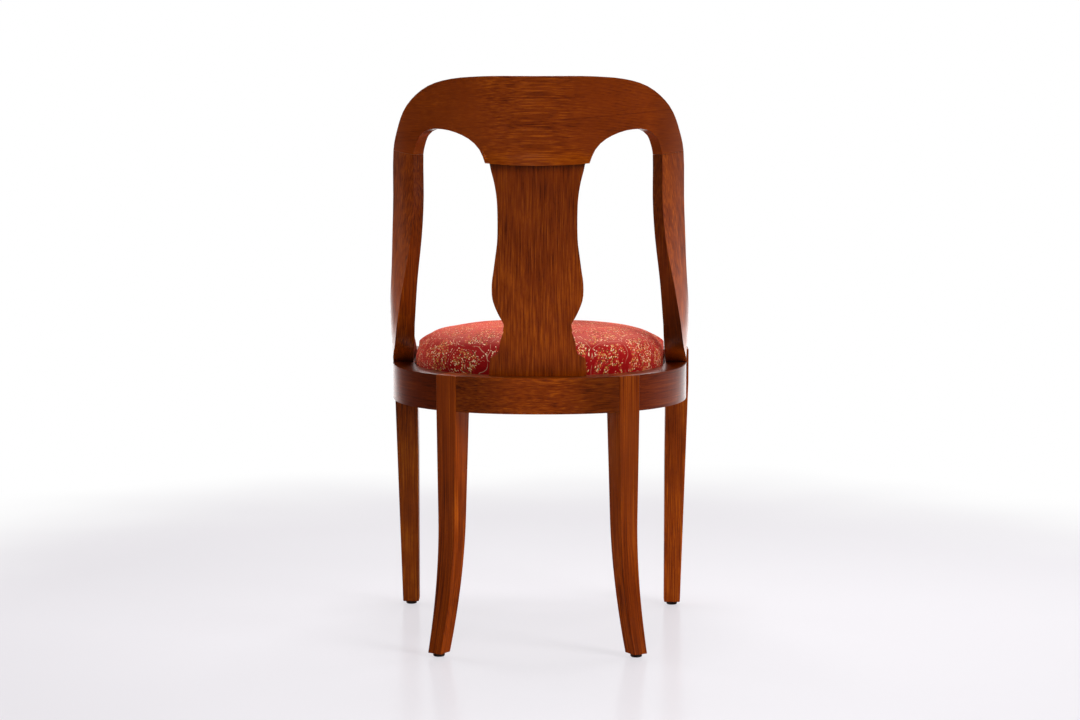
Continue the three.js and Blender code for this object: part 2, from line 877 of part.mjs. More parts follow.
function frontLeftLeg() {
  const stations = frontLegStations();
  const tools = [
    railTenon(frontLegBackFrame(), seatGap),
    railTenon(frontLegInnerFrame(), seatGap),
    seatPocket(),
    glideGeometry(stationMiddle(stations[0]), seatGap),
  ];
  return cutBy(bandGeometry(stations), tools);
}

// Seat rails

function railStation(turn) {
  const outer = ringPlan(turn, 0).place;
  const inner = ringPlan(turn, railWidth).place;
  const upright = (spot) => [ringBottom, seatTop].map((z) => pointAt(spot, z));
  return { outer: upright(outer), inner: upright(inner) };
}

function railSweep(firstTurn, lastTurn, steps) {
  const stations = [];
  for (let step = 0; step <= steps; step += 1) {
    stations.push(railStation(firstTurn + ((lastTurn - firstTurn) * step) / steps));
  }
  return bandGeometry(stations);
}

function rearSeatRail() {
  const leftEnd = rearLegSideFrame(-1);
  const ends = [railEndTool(leftEnd), mirroredGeometry(railEndTool(leftEnd))];
  const tenons = [railTenon(leftEnd, 0), mirroredGeometry(railTenon(leftEnd, 0))];
  const screws = rearBlockScrews().filter((screw) => screw.onRearRail).map((screw) => blockScrew(screw, seatGap));
  const tools = [seatPocket(), splatTenon(seatTop, seatGap), ...screws, ...screws.map(mirroredGeometry)];
  const body = cutBy(railSweep(-rearLegTurn, rearLegTurn, rearRailSteps), ends);
  return cutBy(joined(body, tenons), tools);
}

function leftSeatRail() {
  const ends = [rearLegSideFrame(1), frontLegBackFrame()];
  const screws = [
    ...rearBlockScrews().filter((screw) => !screw.onRearRail),
    ...frontBlockScrews().filter((screw) => screw.onSideRail),
  ];
  const tools = [
    seatPocket(),
    ...stileDowelPlaces().map((place) => stileDowel(place, seatGap)),
    ...screws.map((screw) => blockScrew(screw, seatGap)),
  ];
  const lastTurn = turnForward(frontLegFaceReach - frontLegTopSize / 2);
  const body = cutBy(railSweep(rearLegTurn, lastTurn, sideRailSteps), [...ends.map(railEndTool), frontRailPassage()]);
  return cutBy(joined(body, ends.map((frame) => railTenon(frame, 0))), tools);
}

function frontSeatRail() {
  const steps = 16;
  const halfSpan = frontLegOuterX() - frontLegTopSize / 2;
  const stations = [];
  for (let step = 0; step <= steps; step += 1) {
    const x = halfSpan * (1 - (2 * step) / steps);
    const upright = (y) => [ringBottom, seatTop].map((z) => new THREE.Vector3(x, y, z));
    stations.push({ outer: upright(frontLineY(x, 0)), inner: upright(frontLineY(x, railWidth)) });
  }
  const end = frontLegInnerFrame();
  const ends = [railEndTool(end), mirroredGeometry(railEndTool(end))];
  const tenons = [railTenon(end, 0), mirroredGeometry(railTenon(end, 0))];
  const screws = frontBlockScrews().filter((screw) => !screw.onSideRail).map((screw) => blockScrew(screw, seatGap));
  const body = cutBy(bandGeometry(stations), ends);
  return cutBy(joined(body, tenons), [seatPocket(), ...screws, ...screws.map(mirroredGeometry)]);
}

// Corner blocks, their screws and the screws that hold the seat down

const blockTop = rabbetFloor - dustCoverThickness - 2 * seatGap;
const blockBottom = blockTop - blockHeight;
const blockMiddle = (blockTop + blockBottom) / 2;

function ringInside(inset) {
  return prismGeometry(ringOutline(inset), ringBottom, railHeight);
}

function rearBlockFrame() {
  const { place, normal } = ringPlan(rearLegTurn, railWidth);
  return { origin: place, normal, tangent: new THREE.Vector2(normal.y, -normal.x) };
}

function rearBlockScrews() {
  const frame = rearBlockFrame();
  return [-1, 1].map((side) => {
    const along = (side * rearBlockScrewSpacing) / 2;
    const spot = frame.origin.clone().addScaledVector(frame.tangent, along);
    spot.addScaledVector(frame.normal, screwHeadHeight - rearBlockDepth);
    return {
      head: pointAt(spot, blockMiddle),
      direction: new THREE.Vector3(frame.normal.x, frame.normal.y, 0),
      onRearRail: side < 0,
    };
  });
}

function frontBlockCorner() {
  const place = ringPlan(turnForward(frontLegFaceReach - railWidth), railWidth).place;
  return new THREE.Vector2(place.x, frontLineY(place.x, railWidth));
}

function frontBlockScrews() {
  const corner = frontBlockCorner();
  const along = frontBlockSide * frontBlockScrewShare;
  const sunk = frontBlockSide - along - screwHeadRadius - screwHeadHeight;
  return [
    {
      head: new THREE.Vector3(corner.x - sunk, corner.y + along, blockMiddle),
      direction: new THREE.Vector3(1, 0, 0),
      onSideRail: true,
    },
    {
      head: new THREE.Vector3(corner.x - along, corner.y + sunk, blockMiddle),
      direction: new THREE.Vector3(0, -1, 0),
      onSideRail: false,
    },
  ];
}

function blockScrew(screw, clearance) {
  const headRoom = clearance > 0 ? rearBlockDepth : 0;
  return screwGeometry(screw.head, screw.direction, blockScrewLength, clearance, headRoom);
}

function seatScrewHeads() {
  const rear = rearBlockFrame();
  const rearSpot = rear.origin.clone().addScaledVector(rear.normal, -rearBlockDepth / 2);
  const corner = frontBlockCorner();
  const frontSpot = corner.clone().add(new THREE.Vector2(-frontBlockSide / 4, frontBlockSide / 4));
  return [rearSpot, frontSpot].map((spot) => pointAt(spot, blockBottom + screwHeadHeight));
}

function seatScrew(head, clearance) {
  const headRoom = clearance > 0 ? railHeight : 0;
  return screwGeometry(head, new THREE.Vector3(0, 0, 1), seatScrewLength, clearance, headRoom);
}

function rearLeftBlock() {
  const half = rearBlockLength / 2;
  const blank = frameBox(rearBlockFrame(), [-half, half], [-rearBlockDepth, railWidth], [blockBottom, blockTop]);
  const tools = rearBlockScrews().map((screw) => blockScrew(screw, seatGap));
  return cutBy(commonOf(blank, ringInside(railWidth + seatGap)), [...tools, seatScrew(seatScrewHeads()[0], seatGap)]);
}

function frontLeftBlock() {
  const corner = frontBlockCorner();
  const outside = frontLegTopSize;
  const outline = [
    new THREE.Vector2(corner.x + outside, corner.y - outside),
    new THREE.Vector2(corner.x + outside, corner.y + frontBlockSide),
    new THREE.Vector2(corner.x, corner.y + frontBlockSide),
    new THREE.Vector2(corner.x - frontBlockSide, corner.y),
    new THREE.Vector2(corner.x - frontBlockSide, corner.y - outside),
  ];
  const blank = prismGeometry(outline, blockBottom, blockHeight);
  const tools = frontBlockScrews().map((screw) => blockScrew(screw, seatGap));
  return cutBy(commonOf(blank, ringInside(railWidth + seatGap)), [...tools, seatScrew(seatScrewHeads()[1], seatGap)]);
}

// Drop-in seat: board, foam, cover and the dust cover under the board

function seatScrewHoles() {
  const holes = seatScrewHeads().map((head) => seatScrew(head, seatGap));
  return [...holes, ...holes.map(mirroredGeometry)];
}

const coverInset = rabbetInset + seatGap;
const boardInset = coverInset + coverDrawIn + coverThickness + seatGap;
const boardBottom = rabbetFloor + seatGap;

function seatBoard() {
  return cutBy(prismGeometry(ringOutline(boardInset), boardBottom, boardThickness), seatScrewHoles());
}

function dustCover() {
  const outline = ringOutline(railWidth + dustCoverInset);
  return cutBy(prismGeometry(outline, rabbetFloor - dustCoverThickness, dustCoverThickness), seatScrewHoles());
}

// How much of the crown's height is left towards the front edge and the front corners
function crownShareAt(spot, middle) {
  const reach = ringHalfWidth - coverInset;
  const across = spot.x / reach;
  const forward = clampShare((middle.y - spot.y) / reach);
  return 1 - forward ** 2 * (seatFrontFallShare + seatCornerFallShare * across ** 2);
}

// Rings of a padded dome: drawn in at the seat ring, widest above it, then rounding over to the crown
function domeRings(shrink, bottom) {
  const widestZ = seatTop + coverWidestRise - shrink;
  const crownRise = seatCrownRise - coverWidestRise;
  const walls = [
    { inset: coverInset + coverDrawIn, z: bottom },
    { inset: coverInset + coverDrawIn, z: seatTop },
    { inset: coverInset + coverDrawIn / 5, z: seatTop + coverWidestRise / 2 },
    { inset: coverInset, z: widestZ },
  ];
  const rings = walls.map(({ inset, z }) => ringOutline(inset + shrink).map((spot) => pointAt(spot, z)));
  const rim = ringOutline(coverInset + shrink);
  const middle = new THREE.Vector2(0, ringMiddleY + seatCrownSetback);
  const steps = 8;
  for (let step = 1; step < steps; step += 1) {
    const curve = superellipse((quarterTurn * (steps - step)) / steps, 1, 1, seatCrownPower);
    const rise = crownRise * curve.along;
    const ring = rim.map((spot) => middle.clone().lerp(spot, curve.across));
    rings.push(ring.map((spot) => pointAt(spot, widestZ + rise * crownShareAt(spot, middle))));
  }
  return { rings, top: pointAt(middle, widestZ + crownRise) };
}

// Closed skin over stacked rings, from a middle point or a first ring to a middle point
function ringStackGeometry(rings, firstTop, lastTop) {
  const size = rings[0].length;
  const positions = [];
  for (const point of rings.flat()) {
    positions.push(point.x, point.y, point.z);
  }
  const index = [];
  for (let row = 0; row + 1 < rings.length; row += 1) {
    for (let item = 0; item < size; item += 1) {
      const next = (item + 1) % size;
      const a = row * size + item;
      const b = row * size + next;
      index.push(a, b, b + size, a, b + size, a + size);
    }
  }
  const first = positions.length / 3;
  positions.push(firstTop.x, firstTop.y, firstTop.z, lastTop.x, lastTop.y, lastTop.z);
  const lastRow = (rings.length - 1) * size;
  for (let item = 0; item < size; item += 1) {
    const next = (item + 1) % size;
    index.push(next, item, first);
    index.push(lastRow + item, lastRow + next, first + 1);
  }
  return outwardGeometry(positions, index);
}

// The rings run downwards, as those of the cover's inside do, so that both have the same facets
function seatFoam() {
  const bottom = boardBottom + boardThickness + seatGap;
  const { rings, top } = domeRings(coverThickness + seatGap, bottom);
  return ringStackGeometry(rings.reverse(), top, pointAt(top, bottom));
}

function seatCover() {
  const outside = domeRings(0, boardBottom);
  const inside = domeRings(coverThickness, boardBottom);
  return ringStackGeometry([...inside.rings.reverse(), ...outside.rings], inside.top, outside.top);
}

// Materials

const stainedBeech = new THREE.MeshStandardMaterial({ color: 0x8a3f17, roughness: 0.35, metalness: 0 });
const bareBeech = new THREE.MeshStandardMaterial({ color: 0xc89b6a, roughness: 0.6, metalness: 0 });
const plywood = new THREE.MeshStandardMaterial({ color: 0xb98f5d, roughness: 0.7, metalness: 0 });
const padFoam = new THREE.MeshStandardMaterial({ color: 0xe8dcb8, roughness: 0.95, metalness: 0 });
const brocade = new THREE.MeshStandardMaterial({ color: 0xb3262a, roughness: 0.8, metalness: 0 });
const dustCloth = new THREE.MeshStandardMaterial({ color: 0x222224, roughness: 0.95, metalness: 0 });
const glidePlastic = new THREE.MeshStandardMaterial({ color: 0x2a2422, roughness: 0.5, metalness: 0 });
const screwSteel = new THREE.MeshStandardMaterial({ color: 0xb0a878, roughness: 0.35, metalness: 0.9 });

// Assembly

const chair = new THREE.Group();

function addPiece(name, geometry, material) {
  const mesh = new THREE.Mesh(geometry, material);
  mesh.name = name;
  chair.add(mesh);
}

// A left piece and its mirror image on the right; a name has a star where the side goes
function addPair(name, geometry, material) {
  addPiece(name.replace("*", "left"), geometry, material);
  addPiece(name.replace("*", "right"), mirroredGeometry(indexed(geometry)), material);
}

function indexed(geometry) {
  return geometry.index ? geometry : mergeVertices(geometry);
}

addPiece("crest_rail", crestRail(), stainedBeech);
addPair("*_stile", leftStile(), stainedBeech);
addPiece("back_splat", backSplat(), stainedBeech);
addPiece("rear_seat_rail", rearSeatRail(), stainedBeech);
addPair("*_seat_rail", leftSeatRail(), stainedBeech);
addPiece("front_seat_rail", frontSeatRail(), stainedBeech);
addPair("rear_*_leg", rearLeftLeg(), stainedBeech);
addPair("front_*_leg", frontLeftLeg(), stainedBeech);
addPair("rear_*_corner_block", rearLeftBlock(), bareBeech);
addPair("front_*_corner_block", frontLeftBlock(), bareBeech);
addPiece("seat_board", seatBoard(), plywood);
addPiece("seat_foam", seatFoam(), padFoam);
addPiece("seat_cover", seatCover(), brocade);
addPiece("dust_cover", dustCover(), dustCloth);
addPair("rear_*_glide", glideGeometry(stationMiddle(rearLegStations()[0]), 0), glidePlastic);
addPair("front_*_glide", glideGeometry(stationMiddle(frontLegStations()[0]), 0), glidePlastic);
crestDowelPlaces().forEach((place, item) => {
  addPair(`*_crest_dowel_${item + 1}`, crestDowel(place, 0), bareBeech);
});
stileDowelPlaces().forEach((place, item) => {
  addPair(`*_stile_dowel_${item + 1}`, stileDowel(place, 0), bareBeech);
});
rearBlockScrews().forEach((screw, item) => {
  addPair(`rear_*_block_screw_${item + 1}`, blockScrew(screw, 0), screwSteel);
});
frontBlockScrews().forEach((screw, item) => {
  addPair(`front_*_block_screw_${item + 1}`, blockScrew(screw, 0), screwSteel);
});
["rear", "front"].forEach((end, item) => {
  addPair(`${end}_*_seat_screw`, seatScrew(seatScrewHeads()[item], 0), screwSteel);
});

export default chair;
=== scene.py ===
"""Lyre back dining chair: finishes, seat cushion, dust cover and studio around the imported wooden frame.

Metres, +Z up. The sitter faces -Y and the camera stands behind the chair, so the back is at +Y.
"""

import logging
import math
from dataclasses import dataclass
from enum import Enum

import bpy
from mathutils import Matrix, Vector
from mathutils.bvhtree import BVHTree


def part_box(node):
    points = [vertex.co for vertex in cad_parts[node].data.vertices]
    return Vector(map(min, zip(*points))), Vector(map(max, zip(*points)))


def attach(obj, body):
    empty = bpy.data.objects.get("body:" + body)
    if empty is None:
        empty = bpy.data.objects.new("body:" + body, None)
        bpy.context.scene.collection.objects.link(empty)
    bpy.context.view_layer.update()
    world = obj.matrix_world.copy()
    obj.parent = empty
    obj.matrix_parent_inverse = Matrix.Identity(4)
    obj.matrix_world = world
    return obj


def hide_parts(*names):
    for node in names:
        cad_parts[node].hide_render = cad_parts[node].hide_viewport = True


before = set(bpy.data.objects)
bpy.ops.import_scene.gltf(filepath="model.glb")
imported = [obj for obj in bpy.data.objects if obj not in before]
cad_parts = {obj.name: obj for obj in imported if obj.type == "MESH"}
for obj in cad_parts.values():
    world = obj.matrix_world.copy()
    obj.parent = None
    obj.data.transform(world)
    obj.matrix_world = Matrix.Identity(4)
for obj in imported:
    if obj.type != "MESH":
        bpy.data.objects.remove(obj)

LOG = logging.getLogger("lyre_back_chair")
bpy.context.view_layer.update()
MM = 0.001
FULL_TURN = 2.0 * math.pi
QUARTER_TURN = 0.5 * math.pi
SHARP_ANGLE = math.radians(32.0)
EDGE_SEGMENTS = 3
WELD_REACH = 0.01 * MM
NOISE_MIDDLE = 0.5
CLOTH_PLAN = "cloth_plan"

Plan = tuple[float, float]
Ends = tuple[float, float]
Spot = tuple[float, float, float]
Way = tuple[float, float, float]
Colour = tuple[float, float, float]

BLACK: Colour = (0.012, 0.012, 0.012)
WHITE: Colour = (1.0, 1.0, 1.0)
SocketValue = "float | Colour | Scalar | Triple"


class Scalar:
    """A number that varies over a surface; arithmetic on it adds Math nodes."""

    def __init__(self, graph: "Graph", socket: bpy.types.NodeSocket) -> None:
        """Args:
            graph: The material's nodes.
            socket: The output socket that carries the number.
        """
        self.graph = graph
        self.socket = socket

    def _math(self, operation: str, *values: "float | Scalar") -> "Scalar":
        """Adds one Math node.

        Args:
            operation: The Math node's operation.
            values: The numbers or links of its inputs, in order.

        Returns:
            The node's result.
        """
        inputs = dict(enumerate(values))
        return self.graph.node("ShaderNodeMath", {"operation": operation}, inputs).scalar("Value")

    def __add__(self, other: "float | Scalar") -> "Scalar":
        """Sum."""
        return self._math("ADD", self, other)

    __radd__ = __add__

    def __sub__(self, other: "float | Scalar") -> "Scalar":
        """Difference."""
        return self._math("SUBTRACT", self, other)

    def __rsub__(self, other: "float | Scalar") -> "Scalar":
        """Difference, reflected."""
        return self._math("SUBTRACT", other, self)

    def __mul__(self, other: "float | Scalar") -> "Scalar":
        """Product."""
        return self._math("MULTIPLY", self, other)

    __rmul__ = __mul__

    def __truediv__(self, other: "float | Scalar") -> "Scalar":
        """Quotient."""
        return self._math("DIVIDE", self, other)

    def __pow__(self, other: "float | Scalar") -> "Scalar":
        """Power."""
        return self._math("POWER", self, other)

    def __abs__(self) -> "Scalar":
        """Size without sign."""
        return self._math("ABSOLUTE", self)

    def fraction(self) -> "Scalar":
        """What is left after the whole part."""
        return self._math("FRACT", self)

    def sine(self) -> "Scalar":
        """Sine of the number as an angle in radians."""
        return self._math("SINE", self)

    def turn_from(self, other: "float | Scalar") -> "Scalar":
        """Angle in radians, from the other number's axis, of the vector that the two numbers make."""
        return self._math("ARCTAN2", self, other)

    def at_least(self, other: "float | Scalar") -> "Scalar":
        """The larger of two numbers."""
        return self._math("MAXIMUM", self, other)

    def at_most(self, other: "float | Scalar") -> "Scalar":
        """The smaller of two numbers."""
        return self._math("MINIMUM", self, other)

    def step(self, low: float, high: float) -> "Scalar":
        """Rises smoothly from 0 to 1.

        Args:
            low: The number that gives 0.
            high: The number that gives 1; below low, the step falls instead.

        Returns:
            The stepped number.
        """
        settings = {"interpolation_type": "SMOOTHSTEP"}
        ends = (low, high, 0.0, 1.0) if low < high else (high, low, 1.0, 0.0)
        inputs = dict(zip(("From Min", "From Max", "To Min", "To Max"), ends))
        return self.graph.node("ShaderNodeMapRange", settings, {"Value": self, **inputs}).scalar("Result")


class Triple:
    """A vector or colour that varies over a surface; arithmetic on it adds Vector Math nodes."""

    def __init__(self, graph: "Graph", socket: bpy.types.NodeSocket) -> None:
        """Args:
            graph: The material's nodes.
            socket: The output socket that carries the vector.
        """
        self.graph = graph
        self.socket = socket

    def _math(self, operation: str, *values: "Colour | Triple") -> "Outputs":
        """Adds one Vector Math node.

        Args:
            operation: The node's operation.
            values: The vectors of its inputs, in order.

        Returns:
            The node's outputs.
        """
        return self.graph.node("ShaderNodeVectorMath", {"operation": operation}, dict(enumerate(values)))

    def __add__(self, other: "Colour | Triple") -> "Triple":
        """Sum."""
        return self._math("ADD", self, other).triple("Vector")

    __radd__ = __add__

    def __mul__(self, other: "Colour | Triple") -> "Triple":
        """Product, one component at a time."""
        return self._math("MULTIPLY", self, other).triple("Vector")

    __rmul__ = __mul__

    def dot(self, other: "Way | Triple") -> "Scalar":
        """How far the vector reaches along another."""
        return self._math("DOT_PRODUCT", self, other).scalar("Value")

    def noise(self, scale: float, detail: float = 2.0, roughness: float = 0.5) -> "Scalar":
        """Reads soft noise at this place.

        Args:
            scale: Features per unit of place.
            detail: Octaves.
            roughness: How strong the finer octaves are.

        Returns:
            The noise, from 0 to 1.
        """
        inputs = {"Vector": self, "Scale": scale, "Detail": detail, "Roughness": roughness}
        return self.graph.node("ShaderNodeTexNoise", None, inputs).scalar("Fac")

    @property
    def x(self) -> "Scalar":
        """The first part of the vector."""
        return self.dot((1.0, 0.0, 0.0))

    @property
    def y(self) -> "Scalar":
        """The second part of the vector."""
        return self.dot((0.0, 1.0, 0.0))

    @property
    def z(self) -> "Scalar":
        """The third part of the vector."""
        return self.dot((0.0, 0.0, 1.0))


@dataclass(frozen=True)
class Outputs:
    """The outputs of one node."""

    graph: "Graph"
    node: bpy.types.Node

    def scalar(self, name: str) -> Scalar:
        """The output of that name as a number."""
        return Scalar(self.graph, self.node.outputs[name])

    def triple(self, name: str) -> Triple:
        """The output of that name as a vector or colour."""
        return Triple(self.graph, self.node.outputs[name])


class Graph:
    """The nodes of one material or of the world, from its texture coordinates to its surface."""

    def __init__(self, owner: "bpy.types.Material | bpy.types.World") -> None:
        """Args:
            owner: The material or world, whose nodes start empty.
        """
        owner.use_nodes = True
        self.owner = owner
        self.tree = owner.node_tree
        self.tree.nodes.clear()

    @classmethod
    def named(cls, name: str) -> "Graph":
        """The empty nodes of a new material of that name."""
        return cls(bpy.data.materials.new(name))

    def node(
        self,
        kind: str,
        settings: "dict[str, object] | None" = None,
        inputs: "dict[str | int, SocketValue] | None" = None,
    ) -> Outputs:
        """Adds a node, sets its settings, then its sockets.

        Args:
            kind: The node's type.
            settings: The node's own settings.
            inputs: The values or links of its sockets, by name or by place.

        Returns:
            The node's outputs.
        """
        node = self.tree.nodes.new(kind)
        for name, value in (settings or {}).items():
            setattr(node, name, value)
        for name, value in (inputs or {}).items():
            socket = node.inputs[name]
            if isinstance(value, (Scalar, Triple)):
                self.tree.links.new(value.socket, socket)
            elif isinstance(value, tuple) and len(socket.default_value) == 4:
                socket.default_value = (*value, 1.0)
            else:
                socket.default_value = value
        return Outputs(self, node)

    def place(self) -> Triple:
        """The point's place in the chair's own frame, in metres."""
        return self.node("ShaderNodeTexCoord").triple("Object")

    def facing(self) -> Triple:
        """The way that the surface faces at the point."""
        return self.node("ShaderNodeNewGeometry").triple("Normal")

    def combine(self, x: "float | Scalar", y: "float | Scalar", z: "float | Scalar") -> Triple:
        """A vector from three numbers."""
        return self.node("ShaderNodeCombineXYZ", None, {"X": x, "Y": y, "Z": z}).triple("Vector")

    def grey(self, level: "float | Scalar") -> Triple:
        """A colour with one level in all three parts."""
        return self.combine(level, level, level)

    def mix(self, factor: "float | Scalar", low: "Colour | Triple", high: "Colour | Triple") -> Triple:
        """A colour between two colours.

        Args:
            factor: 0 gives the low colour and 1 the high one.
            low: First colour.
            high: Second colour.

        Returns:
            The mixed colour.
        """
        inputs = {"Factor": factor, 6: low, 7: high}
        mixed = self.node("ShaderNodeMix", {"data_type": "RGBA"}, inputs)
        return Triple(self, mixed.node.outputs[2])

    def bump(self, height: Scalar, distance: float, strength: float = 1.0) -> Triple:
        """A surface normal from a height.

        Args:
            height: The height, from 0 to 1.
            distance: What a height of 1 is worth, in metres.
            strength: How much of the bump is used.

        Returns:
            The normal.
        """
        inputs = {"Height": height, "Distance": distance, "Strength": strength}
        return self.node("ShaderNodeBump", None, inputs).triple("Normal")

    def surface(self, inputs: "dict[str | int, SocketValue]") -> bpy.types.Material:
        """Ends the graph in a Principled surface.

        Args:
            inputs: The surface's sockets.

        Returns:
            The finished material.
        """
        self.finish("ShaderNodeOutputMaterial", self.node("ShaderNodeBsdfPrincipled", None, inputs))
        return self.owner

    def blend(self, factor: "float | Scalar", low: Outputs, high: Outputs) -> Outputs:
        """Mixes two shaders.

        Args:
            factor: 0 gives the low shader and 1 the high one.
            low: First shader.
            high: Second shader.

        Returns:
            The mixed shader.
        """
        mixed = self.node("ShaderNodeMixShader", None, {"Fac": factor})
        for place, shader in ((1, low), (2, high)):
            self.tree.links.new(shader.node.outputs[0], mixed.node.inputs[place])
        return mixed

    def finish(self, kind: str, shader: Outputs) -> None:
        """Makes a shader what the owner shows.

        Args:
            kind: The output node's type.
            shader: The shader.
        """
        end = self.tree.nodes.new(kind)
        self.tree.links.new(shader.node.outputs[0], end.inputs["Surface"])


class Grain(Enum):
    """Which way the fibres of a board run, in the chair's frame."""

    ACROSS = (1.0, 0.0, 0.0)
    UPRIGHT = (0.0, 0.0, 1.0)
    REAR_RAIL = (0.993, -0.12, 0.0)
    LEFT_STILE = (-0.06, 0.42, 0.9)
    RIGHT_STILE = (0.06, 0.42, 0.9)


@dataclass(frozen=True)
class GlueLine:
    """A joint in a board that is glued up from two: a sloping line in the board's face."""

    height: float
    slope: float
    width: float = 0.9 * MM
    core_share: float = 0.3

    def rise(self, place: Triple) -> Scalar:
        """How far the place lies above the line."""
        return place.dot((-self.slope, 0.0, 1.0)) - self.height

    def mask(self, place: Triple) -> Scalar:
        """1 on the line and 0 off it."""
        return abs(self.rise(place)).step(self.width, self.core_share * self.width)

    def above(self, place: Triple) -> Scalar:
        """1 above the line and 0 under it."""
        return self.rise(place).step(-self.width, self.width)


@dataclass(frozen=True)
class PaintedShade:
    """Painted shade: the colour darkened towards one end of a board, or on the faces that turn one way."""

    way: Way
    start: float
    end: float
    share: float
    by_facing: bool = False
    only_faces: "Way | None" = None
    facing_ends: Ends = (0.45, 0.8)

    def light_left(self, place: Triple) -> Scalar:
        """The share of the colour that is left, from 1 at the start down to the end.

        Args:
            place: The point's place on the chair.

        Returns:
            The share.
        """
        facing = place.graph.facing()
        reach = (facing if self.by_facing else place).dot(self.way)
        # painted shade: the colour is darkened where the lighting leaves the board darker
        painted_shade_mask = reach.step(self.start, self.end)
        if self.only_faces:
            painted_shade_mask = painted_shade_mask * facing.dot(self.only_faces).step(*self.facing_ends)
        return 1.0 - painted_shade_mask * self.share


@dataclass(frozen=True)
class CalmEnds:
    """Figure that shows in the middle of a board and dies away towards both ends."""

    middle_x: float
    start: float
    end: float
    share: float = 0.62

    def strength(self, place: Triple) -> Scalar:
        """How much of the figure is left, from 1 at the middle down to the ends."""
        return 1.0 - abs(place.x - self.middle_x).step(self.start, self.end) * self.share


@dataclass(frozen=True)
class Barrel:
    """The upright barrel that a bent board follows, so that its fibres run round with its face."""

    middle_y: float = -9.0 * MM
    radius: float = 225.0 * MM
    roundness: float = 2.0
    lean: float = 0.0
    lean_foot: float = 431.0 * MM
    lean_rise: float = 453.0 * MM
    lean_power: float = 1.2

    def unrolled(self, place: Triple) -> Triple:
        """Lays the barrel's skin flat.

        Args:
            place: The point's place on the chair.

        Returns:
            The place round the barrel, away from its axis, and up.
        """
        x, y, height = place.x, place.y - self.middle_y, place.z
        if self.lean:
            rise = ((height - self.lean_foot) / self.lean_rise).at_least(0.0)
            y = y - rise**self.lean_power * self.lean
        reach = (abs(x) ** self.roundness + abs(y) ** self.roundness) ** (1.0 / self.roundness)
        return place.graph.combine(x.turn_from(y) * self.radius, reach, height)


@dataclass(frozen=True)
class SabreKick:
    """The outward kick at the foot of a rear leg, which its fibres follow."""

    way: Way
    kick: float = 35.0 * MM
    height: float = 210.0 * MM
    power: float = 1.9

    def unrolled(self, place: Triple) -> Triple:
        """Takes the kick back.

        Args:
            place: The point's place on the chair.

        Returns:
            The place as if the leg stood straight.
        """
        back = (1.0 - place.z / self.height).at_least(0.0) ** self.power * -self.kick
        return place + place.graph.combine(back * self.way[0], back * self.way[1], 0.0)


@dataclass(frozen=True)
class RoundedTop:
    """The gentle rounding of the seat ring's upper face, which falls towards the ring's outer face."""

    ring: "SeatRing"
    width: float = 20.0 * MM
    drop: float = 2.2 * MM

    def height(self, place: Triple) -> Scalar:
        """How far the rounding lies under the flat top.

        Args:
            place: The point's place on the chair.

        Returns:
            A height in metres, 0 or less.
        """
        power = self.ring.roundness
        across = abs(place.x) / self.ring.half_width
        back = (place.y - self.ring.middle_y).at_least(0.0) / self.ring.back_reach
        inside = (1.0 - (across**power + back**power) ** (1.0 / power)) * self.ring.half_width
        away = 1.0 - (inside / self.width).at_least(0.0).at_most(1.0)
        return away * away * -self.drop


@dataclass(frozen=True)
class FibrePlace:
    """A point's place in its board: along the fibres, and across them both ways."""

    along: Scalar
    across: Scalar
    deep: Scalar
    shift: float

    def streaks(
        self,
        per_along: float,
        per_across: float,
        detail: float = 1.0,
        roughness: float = 0.5,
    ) -> Scalar:
        """Noise drawn out along the fibres.

        Args:
            per_along: Features per metre along the fibres.
            per_across: Features per metre across them.
            detail: Octaves.
            roughness: How strong the finer octaves are.

        Returns:
            The noise, from 0 to 1.
        """
        along = self.along * per_along + self.shift
        spot = along.graph.combine(along, self.across * per_across, self.deep * per_across)
        return spot.noise(1.0, detail, roughness)


@dataclass(frozen=True)
class WoodMarks:
    """The marks of one board, each as a number over its surface."""

    rings: Scalar
    bands: Scalar
    strands: Scalar
    fibres: Scalar
    flecks: Scalar
    pores: Scalar
    cloud: Scalar
    ripple: Scalar


@dataclass(frozen=True)
class ToneDepths:
    """How far each mark moves the wood's tone at a strength of 1."""

    ripple: float = 0.42
    rings: float = 0.26
    fibres: float = 2.7
    flecks: float = 0.5
    pores: float = 0.2
    glue_line: float = 0.3
    above_glue_line: float = 0.06
    # painted light along the crest's lip
    painted_lip_light: float = 0.14


